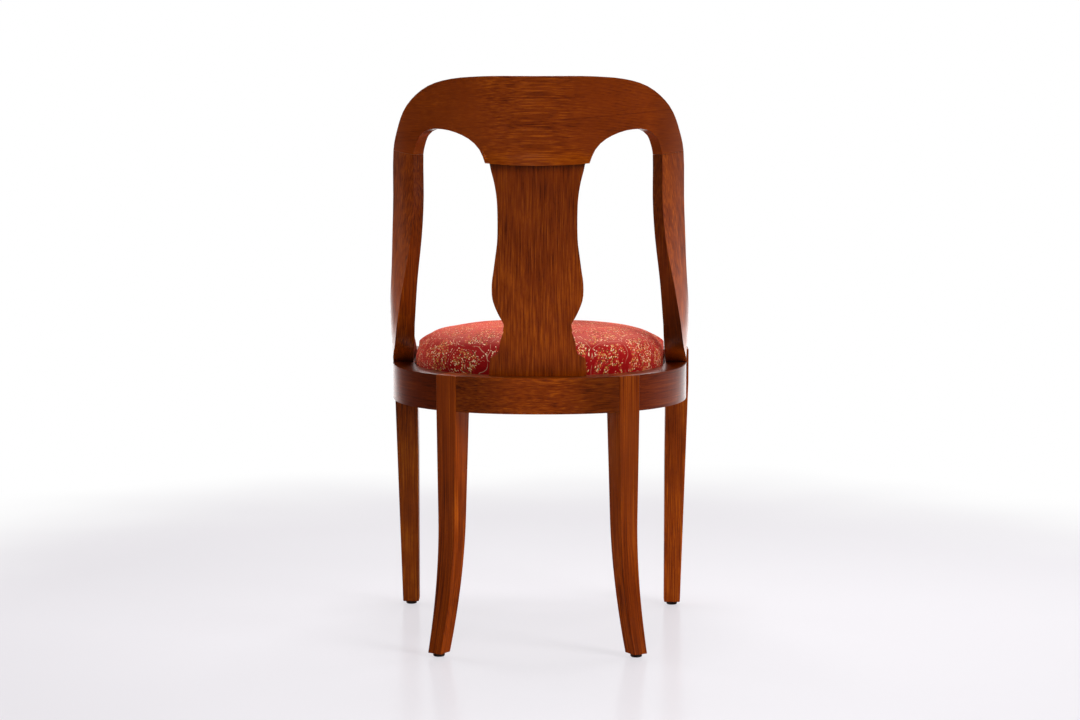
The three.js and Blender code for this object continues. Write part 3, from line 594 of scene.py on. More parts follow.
@dataclass(frozen=True)
class LacqueredBeech:
    """Beech stained red-brown under a satin lacquer, cut as a solid from one board."""

    name: str
    grain: Grain
    heart: Spot
    seed: float
    lightness: float = 1.0
    ring_strength: float = 0.6
    fibre_strength: float = 1.0
    fleck_strength: float = 0.6
    figure_strength: float = 0.6
    cloud_strength: float = 0.5
    band_strength: float = 0.5
    strand_strength: float = 0.62
    fibre_rate: float = 14.0
    strand_rate_share: float = 0.6
    ring_width: float = 3.4 * MM
    ring_wander: float = 30.0 * MM
    glue_line: "GlueLine | None" = None
    top: "RoundedTop | None" = None
    bend: "Barrel | SabreKick | None" = None
    # painted shade laid over the stained colour
    painted_shades: tuple[PaintedShade, ...] = ()
    calm_ends: "CalmEnds | None" = None
    # painted light: a lighter band along the crest's lip, below this height
    painted_lip_light_below: float = 0.0
    painted_lip_light_fade: float = 5.0 * MM
    relief_depth: float = 0.065 * MM
    depths: ToneDepths = ToneDepths()
    middle_tone: float = 0.46
    mean_mark: float = 0.2
    seed_shift: float = 1.7
    tint: Colour = WHITE
    dark: Colour = (0.062, 0.007, 0.0002)
    middle: Colour = (0.168, 0.0245, 0.0003)
    light: Colour = (0.315, 0.064, 0.0012)
    rosy: Colour = (0.2, 0.031, 0.0015)
    rosy_share: float = 0.35

    def _fibre_place(self, place: Triple) -> FibrePlace:
        """Turns a place on the unrolled board to its fibres.

        Args:
            place: The place from the heart of the tree.

        Returns:
            The place along and across the fibres.
        """
        along_way = Vector(self.grain.value).normalized()
        helper = Vector((0.0, 1.0, 0.0)) if abs(along_way.y) < 0.8 else Vector((0.0, 0.0, 1.0))
        across_way = along_way.cross(helper).normalized()
        deep_way = along_way.cross(across_way).normalized()
        along, across, deep = (place.dot(tuple(way)) for way in (along_way, across_way, deep_way))
        return FibrePlace(along, across, deep, self.seed * self.seed_shift)

    def _marks(self, place: Triple) -> WoodMarks:
        """Draws the board's figure.

        Args:
            place: The place from the heart of the tree.

        Returns:
            The marks.
        """
        board = self._fibre_place(place)
        shift = board.shift
        wander = board.streaks(per_along=4.5, per_across=16.0, detail=2.0)
        from_heart = (board.across * board.across + board.deep * board.deep) ** 0.5
        radius = from_heart + (wander - NOISE_MIDDLE) * self.ring_wander
        phase = (radius / self.ring_width).fraction()
        late_wood = phase.step(0.2, 0.85) * phase.step(1.0, 0.9)
        fleck_zone = (place + (shift, shift, 0.0)).noise(scale=13.0, detail=1.0).step(0.42, 0.62)
        ripple_place = place.graph.combine(
            board.along * 30.0 + board.across * 16.0 + shift, board.across * 7.0, board.deep * 9.0
        )
        strand_rate = self.strand_rate_share * self.fibre_rate
        return WoodMarks(
            rings=late_wood * board.streaks(per_along=5.0, per_across=26.0).step(0.34, 0.62),
            bands=board.streaks(per_along=5.0, per_across=75.0),
            strands=board.streaks(per_along=strand_rate, per_across=270.0, detail=3.0, roughness=0.55),
            fibres=board.streaks(per_along=self.fibre_rate, per_across=620.0, detail=2.0),
            flecks=board.streaks(per_along=105.0, per_across=620.0).step(0.57, 0.7)
            * (0.35 + fleck_zone * 0.65),
            pores=board.streaks(per_along=190.0, per_across=1250.0, detail=0.0).step(0.62, 0.76),
            cloud=(place + (shift, 0.0, 0.0)).noise(scale=8.0, roughness=0.45),
            ripple=ripple_place.noise(scale=1.0, detail=1.0),
        )

    def _tone(self, marks: WoodMarks, chair_place: Triple) -> Scalar:
        """Adds the marks up to how light the wood is.

        Args:
            marks: The board's marks.
            chair_place: The point's place on the chair.

        Returns:
            The tone, about 0 where the wood is darkest and 1 where it is lightest.
        """
        depths = self.depths
        fine = (
            (marks.strands - NOISE_MIDDLE) * (self.strand_strength * self.fibre_strength)
            + (marks.fibres - NOISE_MIDDLE) * (depths.fibres * self.fibre_strength)
            - (marks.flecks - self.mean_mark) * (depths.flecks * self.fleck_strength)
            - (marks.pores - self.mean_mark) * depths.pores
        )
        if self.calm_ends:
            fine = fine * self.calm_ends.strength(chair_place)
        tone = (
            (marks.cloud - NOISE_MIDDLE) * self.cloud_strength
            + (marks.ripple - NOISE_MIDDLE) * (depths.ripple * self.figure_strength)
            + (marks.bands - NOISE_MIDDLE) * self.band_strength
            - marks.rings * (depths.rings * self.ring_strength)
            + fine
            + self.middle_tone
        )
        if self.glue_line:
            tone = tone - self.glue_line.mask(chair_place) * depths.glue_line
            tone = tone + self.glue_line.above(chair_place) * depths.above_glue_line
        # painted light: the crest's lip lighter below this height
        if self.painted_lip_light_below:
            painted_lip_light = chair_place.z.step(self.painted_lip_light_below, self.painted_lip_light_below - self.painted_lip_light_fade)
            tone = tone + painted_lip_light * depths.painted_lip_light
        return tone

    def _stained_and_shaded(self, tone: Scalar, place: Triple, chair_place: Triple) -> Triple:
        """Colours the wood.

        Args:
            tone: How light the wood is.
            place: The place from the heart of the tree.
            chair_place: The point's place on the chair.

        Returns:
            The colour, with its blush, darkened by its painted shade.
        """
        graph = place.graph
        stained = graph.mix(tone.step(-0.1, 0.56), self.dark, self.middle)
        stained = graph.mix(tone.step(0.46, 1.15), stained, self.light)
        blush_place = place + (0.0, 0.0, self.seed * self.seed_shift)
        blush = blush_place.noise(scale=6.0, detail=1.0).step(0.5, 0.72)
        stained = graph.mix(blush * self.rosy_share, stained, self.rosy)
        stained = stained * tuple(self.lightness * share for share in self.tint)
        # painted shade: darkens the stained colour where the lighting leaves the board darker
        for shade_mark in self.painted_shades:
            stained = stained * graph.grey(shade_mark.light_left(chair_place))
        return stained

    def material(self) -> bpy.types.Material:
        """Builds the finish.

        Returns:
            The material.
        """
        graph = Graph.named(self.name)
        chair_place = graph.place()
        flat = self.bend.unrolled(chair_place) if self.bend else chair_place
        place = flat + tuple(-part for part in self.heart)
        marks = self._marks(place)
        tone = self._tone(marks, chair_place)
        skin = place.noise(scale=240.0)
        open_grain = marks.flecks * 0.3 + marks.pores * 0.35
        relief = (marks.fibres * 0.4 + marks.strands * 0.3 - open_grain + skin * 0.2) * self.relief_depth
        if self.top:
            relief = relief + self.top.height(chair_place)
        return graph.surface(
            {
                "Base Color": self._stained_and_shaded(tone, place, chair_place),
                "Roughness": 0.27 + skin * 0.07 + marks.flecks * 0.06,
                "Normal": graph.bump(relief, 1.0),
                "Coat Weight": 0.15,
                "Coat Roughness": 0.12,
                "Specular IOR Level": 0.2,
            }
        )


@dataclass(frozen=True)
class FinishMarks:
    """What varies over a plain finish: the share of its second colour, its roughness and its relief."""

    share: Scalar
    roughness: Scalar
    height: Scalar


@dataclass(frozen=True)
class PlainFinish:
    """A finish of two colours, the same on every piece that it covers."""

    name: str
    low: Colour
    high: Colour
    relief_depth: float
    relief_strength: float = 0.7
    metallic: float = 0.0

    def marks(self, place: Triple) -> FinishMarks:
        """Draws what varies over the finish.

        Args:
            place: The point's place on the chair.

        Returns:
            The marks.
        """
        raise NotImplementedError

    def material(self) -> bpy.types.Material:
        """Builds the finish.

        Returns:
            The material.
        """
        graph = Graph.named(self.name)
        marks = self.marks(graph.place())
        return graph.surface(
            {
                "Base Color": graph.mix(marks.share, self.low, self.high),
                "Metallic": self.metallic,
                "Roughness": marks.roughness,
                "Normal": graph.bump(marks.height, self.relief_depth, self.relief_strength),
            }
        )


@dataclass(frozen=True)
class BareBeech(PlainFinish):
    """Planed beech without a finish."""

    name: str = "bare_beech"
    low: Colour = (0.5, 0.29, 0.15)
    high: Colour = (0.66, 0.43, 0.25)
    relief_depth: float = 0.12 * MM

    def marks(self, place: Triple) -> FinishMarks:
        """Draws upright fibres and flecks.

        Args:
            place: The point's place on the chair.

        Returns:
            The marks.
        """
        fibres = (place * (500.0, 500.0, 24.0)).noise(scale=1.0, detail=3.0, roughness=0.6)
        flecks = (place * (900.0, 900.0, 160.0)).noise(scale=1.0, detail=1.0).step(0.6, 0.72)
        cloud = place.noise(scale=18.0, detail=3.0)
        tone = fibres * 0.5 + cloud * 0.5 - flecks * 0.25
        return FinishMarks(
            share=tone.step(0.2, 0.75), roughness=0.55 + fibres * 0.15, height=fibres - flecks * 0.4
        )


@dataclass(frozen=True)
class Plywood(PlainFinish):
    """Birch plywood, with its plies on the edge."""

    name: str = "birch_plywood"
    low: Colour = (0.36, 0.2, 0.09)
    high: Colour = (0.62, 0.42, 0.24)
    relief_depth: float = 0.1 * MM
    relief_strength: float = 0.6
    ply: float = 1.7 * MM

    def marks(self, place: Triple) -> FinishMarks:
        """Draws plies and fibres.

        Args:
            place: The point's place on the chair.

        Returns:
            The marks.
        """
        plies = (place.z / (2.0 * self.ply)).fraction().step(0.46, 0.54)
        fibres = (place * (22.0, 420.0, 420.0)).noise(scale=1.0, detail=3.0, roughness=0.6)
        edge = abs(place.graph.facing().z).step(0.6, 0.4)
        tone = (1.0 - plies * edge * 0.6) * (0.55 + fibres * 0.5)
        return FinishMarks(share=tone.step(0.2, 0.85), roughness=0.6 + fibres * 0.12, height=fibres)


@dataclass(frozen=True)
class GlidePlastic(PlainFinish):
    """Dark moulded plastic, scuffed where it slides."""

    name: str = "glide_plastic"
    low: Colour = (0.022, 0.013, 0.011)
    high: Colour = (0.09, 0.07, 0.062)
    relief_depth: float = 0.08 * MM
    scuffed_height: float = 2.4 * MM

    def marks(self, place: Triple) -> FinishMarks:
        """Draws grit and scuffs.

        Args:
            place: The point's place on the chair.

        Returns:
            The marks.
        """
        grit = place.noise(scale=1400.0, detail=3.0, roughness=0.6)
        near_floor = place.z.step(self.scuffed_height, 0.0)
        scuffs = (place * (1.0, 3.0, 1.0)).noise(scale=420.0, detail=3.0).step(0.5, 0.7)
        scuffs = scuffs * (0.25 + near_floor * 0.75)
        return FinishMarks(share=scuffs * 0.7, roughness=0.42 + scuffs * 0.25, height=grit)


@dataclass(frozen=True)
class PlatedSteel(PlainFinish):
    """Yellow zinc plated wood screws."""

    name: str = "plated_steel"
    low: Colour = (0.4, 0.33, 0.2)
    high: Colour = (0.62, 0.53, 0.33)
    relief_depth: float = 0.04 * MM
    relief_strength: float = 0.6
    metallic: float = 0.9

    def marks(self, place: Triple) -> FinishMarks:
        """Draws the plating's bloom."""
        bloom = place.noise(scale=900.0, detail=3.0, roughness=0.6)
        return FinishMarks(share=bloom.step(0.3, 0.7), roughness=0.26 + bloom * 0.2, height=bloom)


@dataclass(frozen=True)
class DustCloth(PlainFinish):
    """Black spunbond cloth with its pressed grid of points."""

    name: str = "dust_cloth"
    low: Colour = (0.012, 0.012, 0.013)
    high: Colour = (0.045, 0.045, 0.048)
    relief_depth: float = 0.12 * MM
    relief_strength: float = 0.8
    pitch: float = 2.2 * MM

    def marks(self, place: Triple) -> FinishMarks:
        """Draws pressed points and fluff.

        Args:
            place: The point's place on the chair.

        Returns:
            The marks.
        """
        turns = FULL_TURN / self.pitch
        dots = ((place.x * turns).sine() * (place.y * turns).sine()).step(0.25, 0.8)
        fluff = place.noise(scale=1500.0, detail=3.0, roughness=0.7)
        share = fluff.step(0.35, 0.7) * (1.0 - dots * 0.6)
        return FinishMarks(share=share, roughness=0.8 + fluff * 0.1, height=fluff * 0.6 - dots)


@dataclass(frozen=True)
class BrocadePattern:
    """Where the brocade's pattern lies, each as a number over the cloth."""

    gap: Scalar
    field_mask: Scalar
    thick: Scalar
    border: Scalar
    oval_edge: Scalar


@dataclass(frozen=True)
class BrocadeYarns:
    """Where the floats of each yarn lie on the cloth, from 0 to 1."""

    gold: Scalar
    straw: Scalar
    olive: Scalar
    coral: Scalar


@dataclass(frozen=True)
class Brocade:
    """Crimson brocade: plain ogee ribbons and ovals, and between them fields of short metal yarn."""

    name: str = "brocade"
    ground: Colour = (0.4, 0.005, 0.007)
    deep_ground: Colour = (0.27, 0.003, 0.004)
    coral: Colour = (0.54, 0.034, 0.025)
    gold: Colour = (0.7, 0.34, 0.08)
    straw: Colour = (1.0, 0.82, 0.5)
    olive: Colour = (0.04, 0.018, 0.005)
    # painted light: the colour that the cushion's upward faces are lightened towards
    painted_top_light: Colour = (0.95, 0.25, 0.19)
    painted_top_light_share: float = 0.36
    repeat_across: float = 83.0 * MM
    repeat_along: float = 128.0 * MM
    first_row: float = 30.0 * MM
    ribbon: float = 18.0 * MM
    ribbon_edge: float = 1.0 * MM
    cord: float = 0.65 * MM
    oval: Plan = (5.0 * MM, 9.0 * MM)
    wander: Way = (34.0 * MM, 40.0 * MM, 0.0)
    float_size: float = 2.4 * MM
    fine_size: float = 1.9 * MM
    float_squeeze: Way = (1.0, 0.7, 1.0)
    fine_shift: Spot = (0.7, 0.3, 0.0)
    pick_edge: float = 0.03
    ragged: float = 5.0 * MM
    yarn: float = 0.7 * MM
    twill: float = 3.1 * MM
    relief_depth: float = 0.34 * MM

    def _ribbons(self, across: Scalar, along: Scalar) -> Scalar:
        """How far the cloth lies from the middle line of the nearest ogee ribbon, in metres.

        Args:
            across: Place across the cloth.
            along: Place along the cloth.

        Returns:
            The distance.
        """
        quarter = self.repeat_across / 4.0
        swing = (along * (FULL_TURN / self.repeat_along) + QUARTER_TURN).sine() * quarter
        start = across + quarter
        one = abs(((start - swing) / self.repeat_across).fraction() - 0.5)
        other = abs(((start + swing) / self.repeat_across + 0.5).fraction() - 0.5)
        return (0.5 - one).at_most(0.5 - other) * self.repeat_across

    def _ovals(self, across: Scalar, along: Scalar) -> Scalar:
        """How far the cloth lies from the middle of the nearest oval, with the oval's edge at 1.

        Args:
            across: Place across the cloth.
            along: Place along the cloth.

        Returns:
            The distance in ovals.
        """
        found = []
        for half in (0.0, 0.5):
            x = (across / self.repeat_across + half).fraction() - 0.5
            y = (along / self.repeat_along + half).fraction() - 0.5
            x = x * (self.repeat_across / self.oval[0])
            y = y * (self.repeat_along / self.oval[1])
            found.append((x * x + y * y) ** 0.5)
        return found[0].at_most(found[1])

    def _floats(self, plan: Triple, size: float) -> tuple[Scalar, Scalar]:
        """Short floats of yarn, scattered over the cloth.

        Args:
            plan: Place on the cloth.
            size: The floats' spacing.

        Returns:
            The floats' mask and a random number for each.
        """
        cells = {"Vector": plan * self.float_squeeze, "Scale": 1.0 / size, "Randomness": 1.0}
        found = plan.graph.node("ShaderNodeTexVoronoi", None, cells)
        return found.scalar("Distance").step(0.56, 0.44), found.triple("Color").x

    def _pattern(self, plan: Triple, fray: Scalar) -> BrocadePattern:
        """Lays out the ribbons, the ovals and the fields between them.

        Args:
            plan: Place on the cloth.
            fray: How ragged the edges are, in metres.

        Returns:
            The pattern.
        """
        graph = plan.graph
        swirl = graph.node("ShaderNodeTexNoise", None, {"Vector": plan, "Scale": 21.0, "Detail": 1.0})
        bent = plan + (swirl.triple("Color") + (-NOISE_MIDDLE,) * 3) * self.wander
        across, along = bent.x, bent.y - self.first_row
        half = self.ribbon / 2.0
        gap = self._ribbons(across, along)
        ovals = self._ovals(across, along)
        drops = graph.combine(across * 62.0, along * 44.0, 0.4).noise(scale=1.0, detail=1.0)
        drop = (drops + fray * 9.0).step(0.6, 0.64)
        beside = (gap + fray).step(half - self.ribbon_edge, half + self.ribbon_edge)
        field_mask = beside * ovals.step(1.1, 1.25) * (1.0 - drop)
        scrolls = graph.combine(across * 88.0, along * 60.0, 2.0).noise(scale=1.0, detail=1.0)
        return BrocadePattern(
            gap=gap,
            field_mask=field_mask,
            thick=abs(scrolls - NOISE_MIDDLE).step(0.03, 0.1),
            border=abs(gap - half).step(2.4 * MM, 0.6 * MM) * (1.0 - field_mask * 0.5),
            oval_edge=abs(ovals - 1.15).step(0.3, 0.1),
        )

    def _picked(self, chance: Scalar) -> Scalar:
        """1 where the chance of a float is above 0, and 0 where it is below."""
        return chance.step(-self.pick_edge, self.pick_edge)

    def _yarns(self, plan: Triple, pattern: BrocadePattern) -> BrocadeYarns:
        """Scatters the floats of each yarn over its part of the pattern.

        Args:
            plan: Place on the cloth.
            pattern: The pattern.

        Returns:
            The yarns.
        """
        coarse, pick = self._floats(plan, self.float_size)
        fine, fine_pick = self._floats(plan + self.fine_shift, self.fine_size)
        field_mask, thick = pattern.field_mask, pattern.thick
        gold_share = field_mask * (0.26 + thick * 0.3)
        straw_share = field_mask * (0.08 + thick * 0.16) + pattern.border * 0.16 + pattern.oval_edge * 0.5
        olive_share = field_mask * (0.22 + thick * 0.22)
        return BrocadeYarns(
            gold=coarse * self._picked(gold_share - pick),
            straw=fine * self._picked(straw_share - fine_pick),
            olive=fine * self._picked(fine_pick - 1.0 + olive_share),
            coral=coarse * pick.step(0.45, 0.55) * field_mask,
        )

    def _coloured(
        self, plan: Triple, upward: Scalar, pattern: BrocadePattern, yarns: BrocadeYarns
    ) -> Triple:
        """Lays the colours over each other, the ground first and the straw yarn last.

        Args:
            plan: Place on the cloth.
            upward: How far the cloth faces up, where painted light makes its colour lighter.
            pattern: The pattern.
            yarns: The yarns.

        Returns:
            The colour.
        """
        broken = plan.noise(scale=70.0, detail=1.0).step(0.42, 0.56)
        cord = pattern.gap.step(self.cord, 0.35 * self.cord) * broken * 0.42
        cloud = plan.noise(scale=16.0)
        warm = cloud.step(0.36, 0.68) * (0.25 + pattern.field_mask * 0.75)
        colour = plan.graph.mix(warm, self.ground, self.coral)
        for share, layer in (
            ((1.0 - pattern.field_mask) * 0.45, self.deep_ground),
            # painted light: upward faces lighter
            (upward.step(0.74, 0.97) * self.painted_top_light_share, self.painted_top_light),
            (yarns.coral * 0.7, self.coral),
            (yarns.gold * 0.9, self.gold),
            (yarns.olive * 0.9, self.olive),
            (yarns.straw.at_least(cord), self.straw),
        ):
            colour = plan.graph.mix(share, colour, layer)
        return colour

    def material(self) -> bpy.types.Material:
        """Builds the finish.

        Returns:
            The material.
        """
        graph = Graph.named(self.name)
        plan = graph.node("ShaderNodeAttribute", {"attribute_name": CLOTH_PLAN}).triple("Vector")
        upward = graph.facing().z
        fray = (plan.noise(scale=210.0, roughness=0.6) - NOISE_MIDDLE) * self.ragged
        pattern = self._pattern(plan, fray)
        yarns = self._yarns(plan, pattern)

        turns = FULL_TURN / self.yarn
        weave = (plan.x * turns).sine() * (plan.y * turns).sine()
        slope = math.sqrt(2.0) * math.pi / self.twill
        ridges = (plan.dot((slope, slope, 0.0)) + fray / (0.6 * self.ragged)).sine()
        # painted light: upward faces a little lighter; the weave and the twill ridges give the rest of this
        # shade
        shade = 0.84 + upward.step(0.3, 0.9) * 0.08 + weave * 0.06
        shade = shade + ridges * (0.07 + pattern.field_mask * 0.18)
        raised = yarns.gold + yarns.straw + yarns.coral * 0.6
        relief = weave * 0.2 + ridges * 0.2 + raised * 0.5 + yarns.olive * 0.2
        return graph.surface(
            {
                "Base Color": self._coloured(plan, upward, pattern, yarns) * graph.grey(shade),
                "Roughness": 0.66 - yarns.gold * 0.22 - yarns.straw * 0.16,
                "Normal": graph.bump(relief, self.relief_depth, 0.9),
                "Sheen Weight": 1.0,
                "Sheen Roughness": 0.28,
                "Sheen Tint": (1.0, 0.15, 0.1),
                "Specular IOR Level": 0.02,
            }
        )


def superellipse(turn: float, power: float) -> Plan:
    """A point on the first quarter of a superellipse that reaches 1 both ways.

    Args:
        turn: The turn from the second axis, in radians.
        power: The superellipse's power; 2 is a circle.

    Returns:
        The point.
    """
    sine, cosine = math.sin(turn), max(math.cos(turn), 0.0)
    radius = (sine**power + cosine**power) ** (-1.0 / power)
    return radius * sine, radius * cosine


@dataclass(frozen=True)
class SeatRing:
    """Plan of the horseshoe seat ring, as the wooden rails have it."""

    half_width: float = 232.0 * MM
    back_reach: float = 221.0 * MM
    middle_y: float = -9.0 * MM
    roundness: float = 2.22
    front_reach: float = 214.0 * MM
    front_bow: float = 10.0 * MM
    flare: float = 11.0 * MM
    corner_radius: float = 26.0 * MM
    top: float = 431.0 * MM
    rabbet_depth: float = 14.0 * MM
    rabbet_inset: float = 33.6 * MM
    cloth_gap: float = 0.3 * MM
    draw_in: float = 2.5 * MM

    def side_point(self, turn: float, inset: float) -> Plan:
        """A point on the back or side of the ring's left half.

        Args:
            turn: The turn from +Y, in radians; past a quarter turn the side runs on forwards.
            inset: How far the point lies inside the ring's outer face.

        Returns:
            The point in plan.
        """
        if turn <= QUARTER_TURN:
            across, along = superellipse(turn, self.roundness)
            slope = self.roundness - 1.0
            normal = Vector((across**slope / self.half_width, along**slope / self.back_reach))
            spot = Vector((self.half_width * across, self.middle_y + self.back_reach * along))
        else:
            forward = self.back_reach * (turn - QUARTER_TURN)
            share = forward / self.front_reach
            normal = Vector((1.0, 2.0 * self.flare * share / self.front_reach))
            spot = Vector((self.half_width + self.flare * share**2, self.middle_y - forward))
        spot -= normal.normalized() * inset
        return (spot.x, spot.y)

    def front_y(self, x: float, inset: float) -> float:
        """The y of the bowed front line at x, moved in by an inset."""
        bow = self.front_bow * (1.0 - (x / self.half_width) ** 2)
        return self.middle_y - self.front_reach - bow + inset

    def outline(self, inset: float, side_steps: int, corner_steps: int, front_steps: int) -> list[Plan]:
        """The ring's closed plan line, moved inwards, with round front corners.

        Args:
            inset: How far the line lies inside the ring's outer face.
            side_steps: Steps from the back to a front corner.
            corner_steps: Steps round a corner.
            front_steps: Steps from a corner to the middle of the front.

        Returns:
            The points, clockwise from the middle of the back.
        """
        last_turn = QUARTER_TURN + (self.front_reach - inset - self.corner_radius) / self.back_reach
        half = [self.side_point(last_turn * step / side_steps, inset) for step in range(side_steps + 1)]
        start_x, start_y = half[-1]
        end_x = start_x - self.corner_radius
        drop = start_y - self.front_y(end_x, inset)
        for step in range(1, corner_steps + 1):
            turn = QUARTER_TURN * step / corner_steps
            half.append((end_x + self.corner_radius * math.cos(turn), start_y - drop * math.sin(turn)))
        for step in range(1, front_steps + 1):
            x = end_x * (1.0 - step / front_steps)
            half.append((x, self.front_y(x, inset)))
        return half + [(-x, y) for x, y in reversed(half[1:-1])]


def new_piece(name: str, points: list[Vector], faces: list[tuple[int, ...]]) -> bpy.types.Object:
    """Makes a smooth shaded object.

    Args:
        name: The piece's name.
        points: Its points.
        faces: Its faces, as places in the list of points.

    Returns:
        The new object, in the scene.
    """
    mesh = bpy.data.meshes.new(name)
    mesh.from_pydata([tuple(point) for point in points], [], faces)
    mesh.validate()
    mesh.shade_smooth()
    piece = bpy.data.objects.new(name, mesh)
    bpy.context.scene.collection.objects.link(piece)
    return piece


def band_faces(lines: int, size: int) -> list[tuple[int, ...]]:
    """The faces between closed lines of points that follow each other in a mesh.

    Args:
        lines: How many lines there are.
        size: How many points each line has.

    Returns:
        The faces.
    """
    faces = []
    for line in range(lines - 1):
        for item in range(size):
            a = line * size + item
            b = line * size + (item + 1) % size
            faces.append((a, a + size, b + size, b))
    return faces


def cap_faces(first: int, size: int, middle: int) -> list[tuple[int, ...]]:
    """The triangles between a mesh's closed line of points and a point inside it.

    Args:
        first: The line's first point.
        size: How many points the line has.
        middle: The point inside it.

    Returns:
        The faces.
    """
    return [(first + (item + 1) % size, first + item, middle) for item in range(size)]


@dataclass(frozen=True)
class DomeRing:
    """One line round the cushion.

    Its inset is measured from the ring's face, inward is its share of the way to the crown, and rise is
    what its height gains there.
    """

    inset: float
    inward: float
    height: float
    rise: float = 0.0


@dataclass
class SeatCushion:
    """The crowned drop-in seat: brocade stretched over foam and drawn under the board."""

    ring: SeatRing
    widest_rise: float = 15.0 * MM
    crown_rise: float = 64.0 * MM
    crown_setback: float = 20.0 * MM
    crown_power: float = 2.2
    crown_steps: int = 24
    bulge_power: float = 1.2
    bulge_steps: int = 6
    hem_turn_in: float = 1.6 * MM
    hem_rise: float = 1.2 * MM
    side_lines: Ends = (5.0 * MM, 0.5 * MM)
    outline_steps: tuple[int, int, int] = (44, 10, 10)
    front_fall: float = 0.22
    corner_fall: float = 0.72
    pucker: float = 0.5 * MM
    pucker_count: int = 46
    pucker_rise: float = 0.35
    pucker_fade: float = 1.6
    slack: float = 3.0 * MM
    swell_limit: float = 4.5 * MM
    voxel: float = 5.0 * MM
    pressure: float = 4.0
    fill_frames: int = 20
    smooth_rounds: int = 6

    @property
    def middle(self) -> Vector:
        """Where the crown stands, in plan."""
        return Vector((0.0, self.ring.middle_y + self.crown_setback))

    @property
    def rest(self) -> float:
        """How far the cover's widest line lies inside the ring's outer face."""
        return self.ring.rabbet_inset + self.ring.cloth_gap

    def crown_share(self, spot: Vector) -> float:
        """How much of the crown's height is left towards the front edge and the front corners.

        Args:
            spot: A place in plan.

        Returns:
            The share.
        """
        reach = self.ring.half_width - self.rest
        across = spot.x / reach
        forward = min(max((self.middle.y - spot.y) / reach, 0.0), 1.0)
        return 1.0 - forward**2 * (self.front_fall + self.corner_fall * across**2)

    def rings(self) -> list[DomeRing]:
        """The lines of the cover from its hem under the board to the crown.

        Returns:
            The lines, from the bottom up.
        """
        bottom = self.ring.top - self.ring.rabbet_depth + self.ring.cloth_gap
        top = self.ring.top
        drawn_in = self.rest + self.ring.draw_in
        lines = [
            DomeRing(drawn_in + self.hem_turn_in, 0.0, bottom),
            DomeRing(drawn_in, 0.0, bottom + self.hem_rise),
        ]
        lines += [DomeRing(drawn_in, 0.0, top - below) for below in self.side_lines]
        for step in range(1, self.bulge_steps + 1):
            share = step / self.bulge_steps
            swell = math.sin(QUARTER_TURN * share) ** self.bulge_power
            inset = self.rest + self.ring.draw_in * (1.0 - swell)
            lines.append(DomeRing(inset, 0.0, top + self.widest_rise * share))
        for step in range(1, self.crown_steps):
            turn = QUARTER_TURN * (1.0 - step / self.crown_steps)
            outward, upward = superellipse(turn, self.crown_power)
            rise = (self.crown_rise - self.widest_rise) * upward
            lines.append(DomeRing(self.rest, 1.0 - outward, top + self.widest_rise, rise))
        return lines

    def build(self) -> bpy.types.Object:
        """Makes the cover as a closed form, with each point's place on the flat cloth.

        Returns:
            The cushion.
        """
        lines = self.rings()
        crown = Vector((*self.middle, self.ring.top + self.crown_rise))
        points: list[Vector] = []
        plans: list[Vector] = []
        travelled: list[float] = []
        previous: list[Vector] = []
        for line in reversed(lines):
            row = []
            for x, y in self.ring.outline(line.inset, *self.outline_steps):
                spot = Vector((x, y)).lerp(self.middle, line.inward)
                row.append(Vector((spot.x, spot.y, line.height + line.rise * self.crown_share(spot))))
            size = len(row)
            starts = previous or [crown] * size
            gone = travelled or [0.0] * size
            travelled = [before + (a - b).length for before, a, b in zip(gone, row, starts)]
            previous = row
            for item, point in enumerate(row):
                way = (Vector((point.x, point.y)) - self.middle).normalized()
                plans.append(Vector((*(way * travelled[item]), 0.0)))
                points.append(self._puckered(point, item / size))
        top = len(points)
        faces = band_faces(len(lines), size)
        faces += [face[::-1] for face in cap_faces(0, size, top)]
        faces += cap_faces(top - size, size, top + 1)
        points += [crown, Vector((*self.middle, lines[0].height))]
        plans += [Vector(), Vector()]
        piece = new_piece("seat_cushion", points, faces)
        store = piece.data.attributes.new(CLOTH_PLAN, "FLOAT_VECTOR", "POINT")
        for item, plan in enumerate(plans):
            store.data[item].vector = plan
        return piece

    def _puckered(self, point: Vector, turn_share: float) -> Vector:
        """Pulls a point in and out where the cloth is gathered above its hem.

        Args:
            point: The smooth place.
            turn_share: How far round the cushion the point lies, from 0 to 1.

        Returns:
            The gathered place.
        """
        rise = (point.z - self.ring.top) / self.widest_rise
        near_hem = max(0.0, 1.0 - abs(rise - self.pucker_rise) / self.pucker_fade)
        turn = FULL_TURN * turn_share
        wave = math.sin(turn * self.pucker_count + 2.0 * math.sin(turn * 5.0)) * math.sin(turn * 7.0 + 0.6)
        way = Vector((point.x, point.y - self.middle.y, 0.0)).normalized()
        return point + way * (self.pucker * near_hem * (wave - 1.0))

    def _freedom(self, point: Vector) -> float:
        """How free a point of the cover is to move, from 0 below the ring's top to 1 at the widest line."""
        return min(max((point.z - self.ring.top) / self.widest_rise, 0.0), 1.0)

    def _slackened(self, piece: bpy.types.Object) -> bpy.types.Object:
        """Copies the cushion as it is before it is filled: a little smaller, and in even faces.

        Args:
            piece: The cushion.

        Returns:
            The copy, in the scene.
        """
        slack = piece.copy()
        slack.data = piece.data.copy()
        slack.name = "cushion_filling"
        bpy.context.scene.collection.objects.link(slack)
        normals = [vertex.normal.copy() for vertex in slack.data.vertices]
        for vertex, normal in zip(slack.data.vertices, normals):
            vertex.co -= normal * (self.slack * self._freedom(vertex.co))
        even = slack.modifiers.new("even_faces", "REMESH")
        even.mode = "VOXEL"
        even.voxel_size = self.voxel
        mesh = self._settled(slack)
        slack.modifiers.clear()
        slack.data = mesh
        return slack

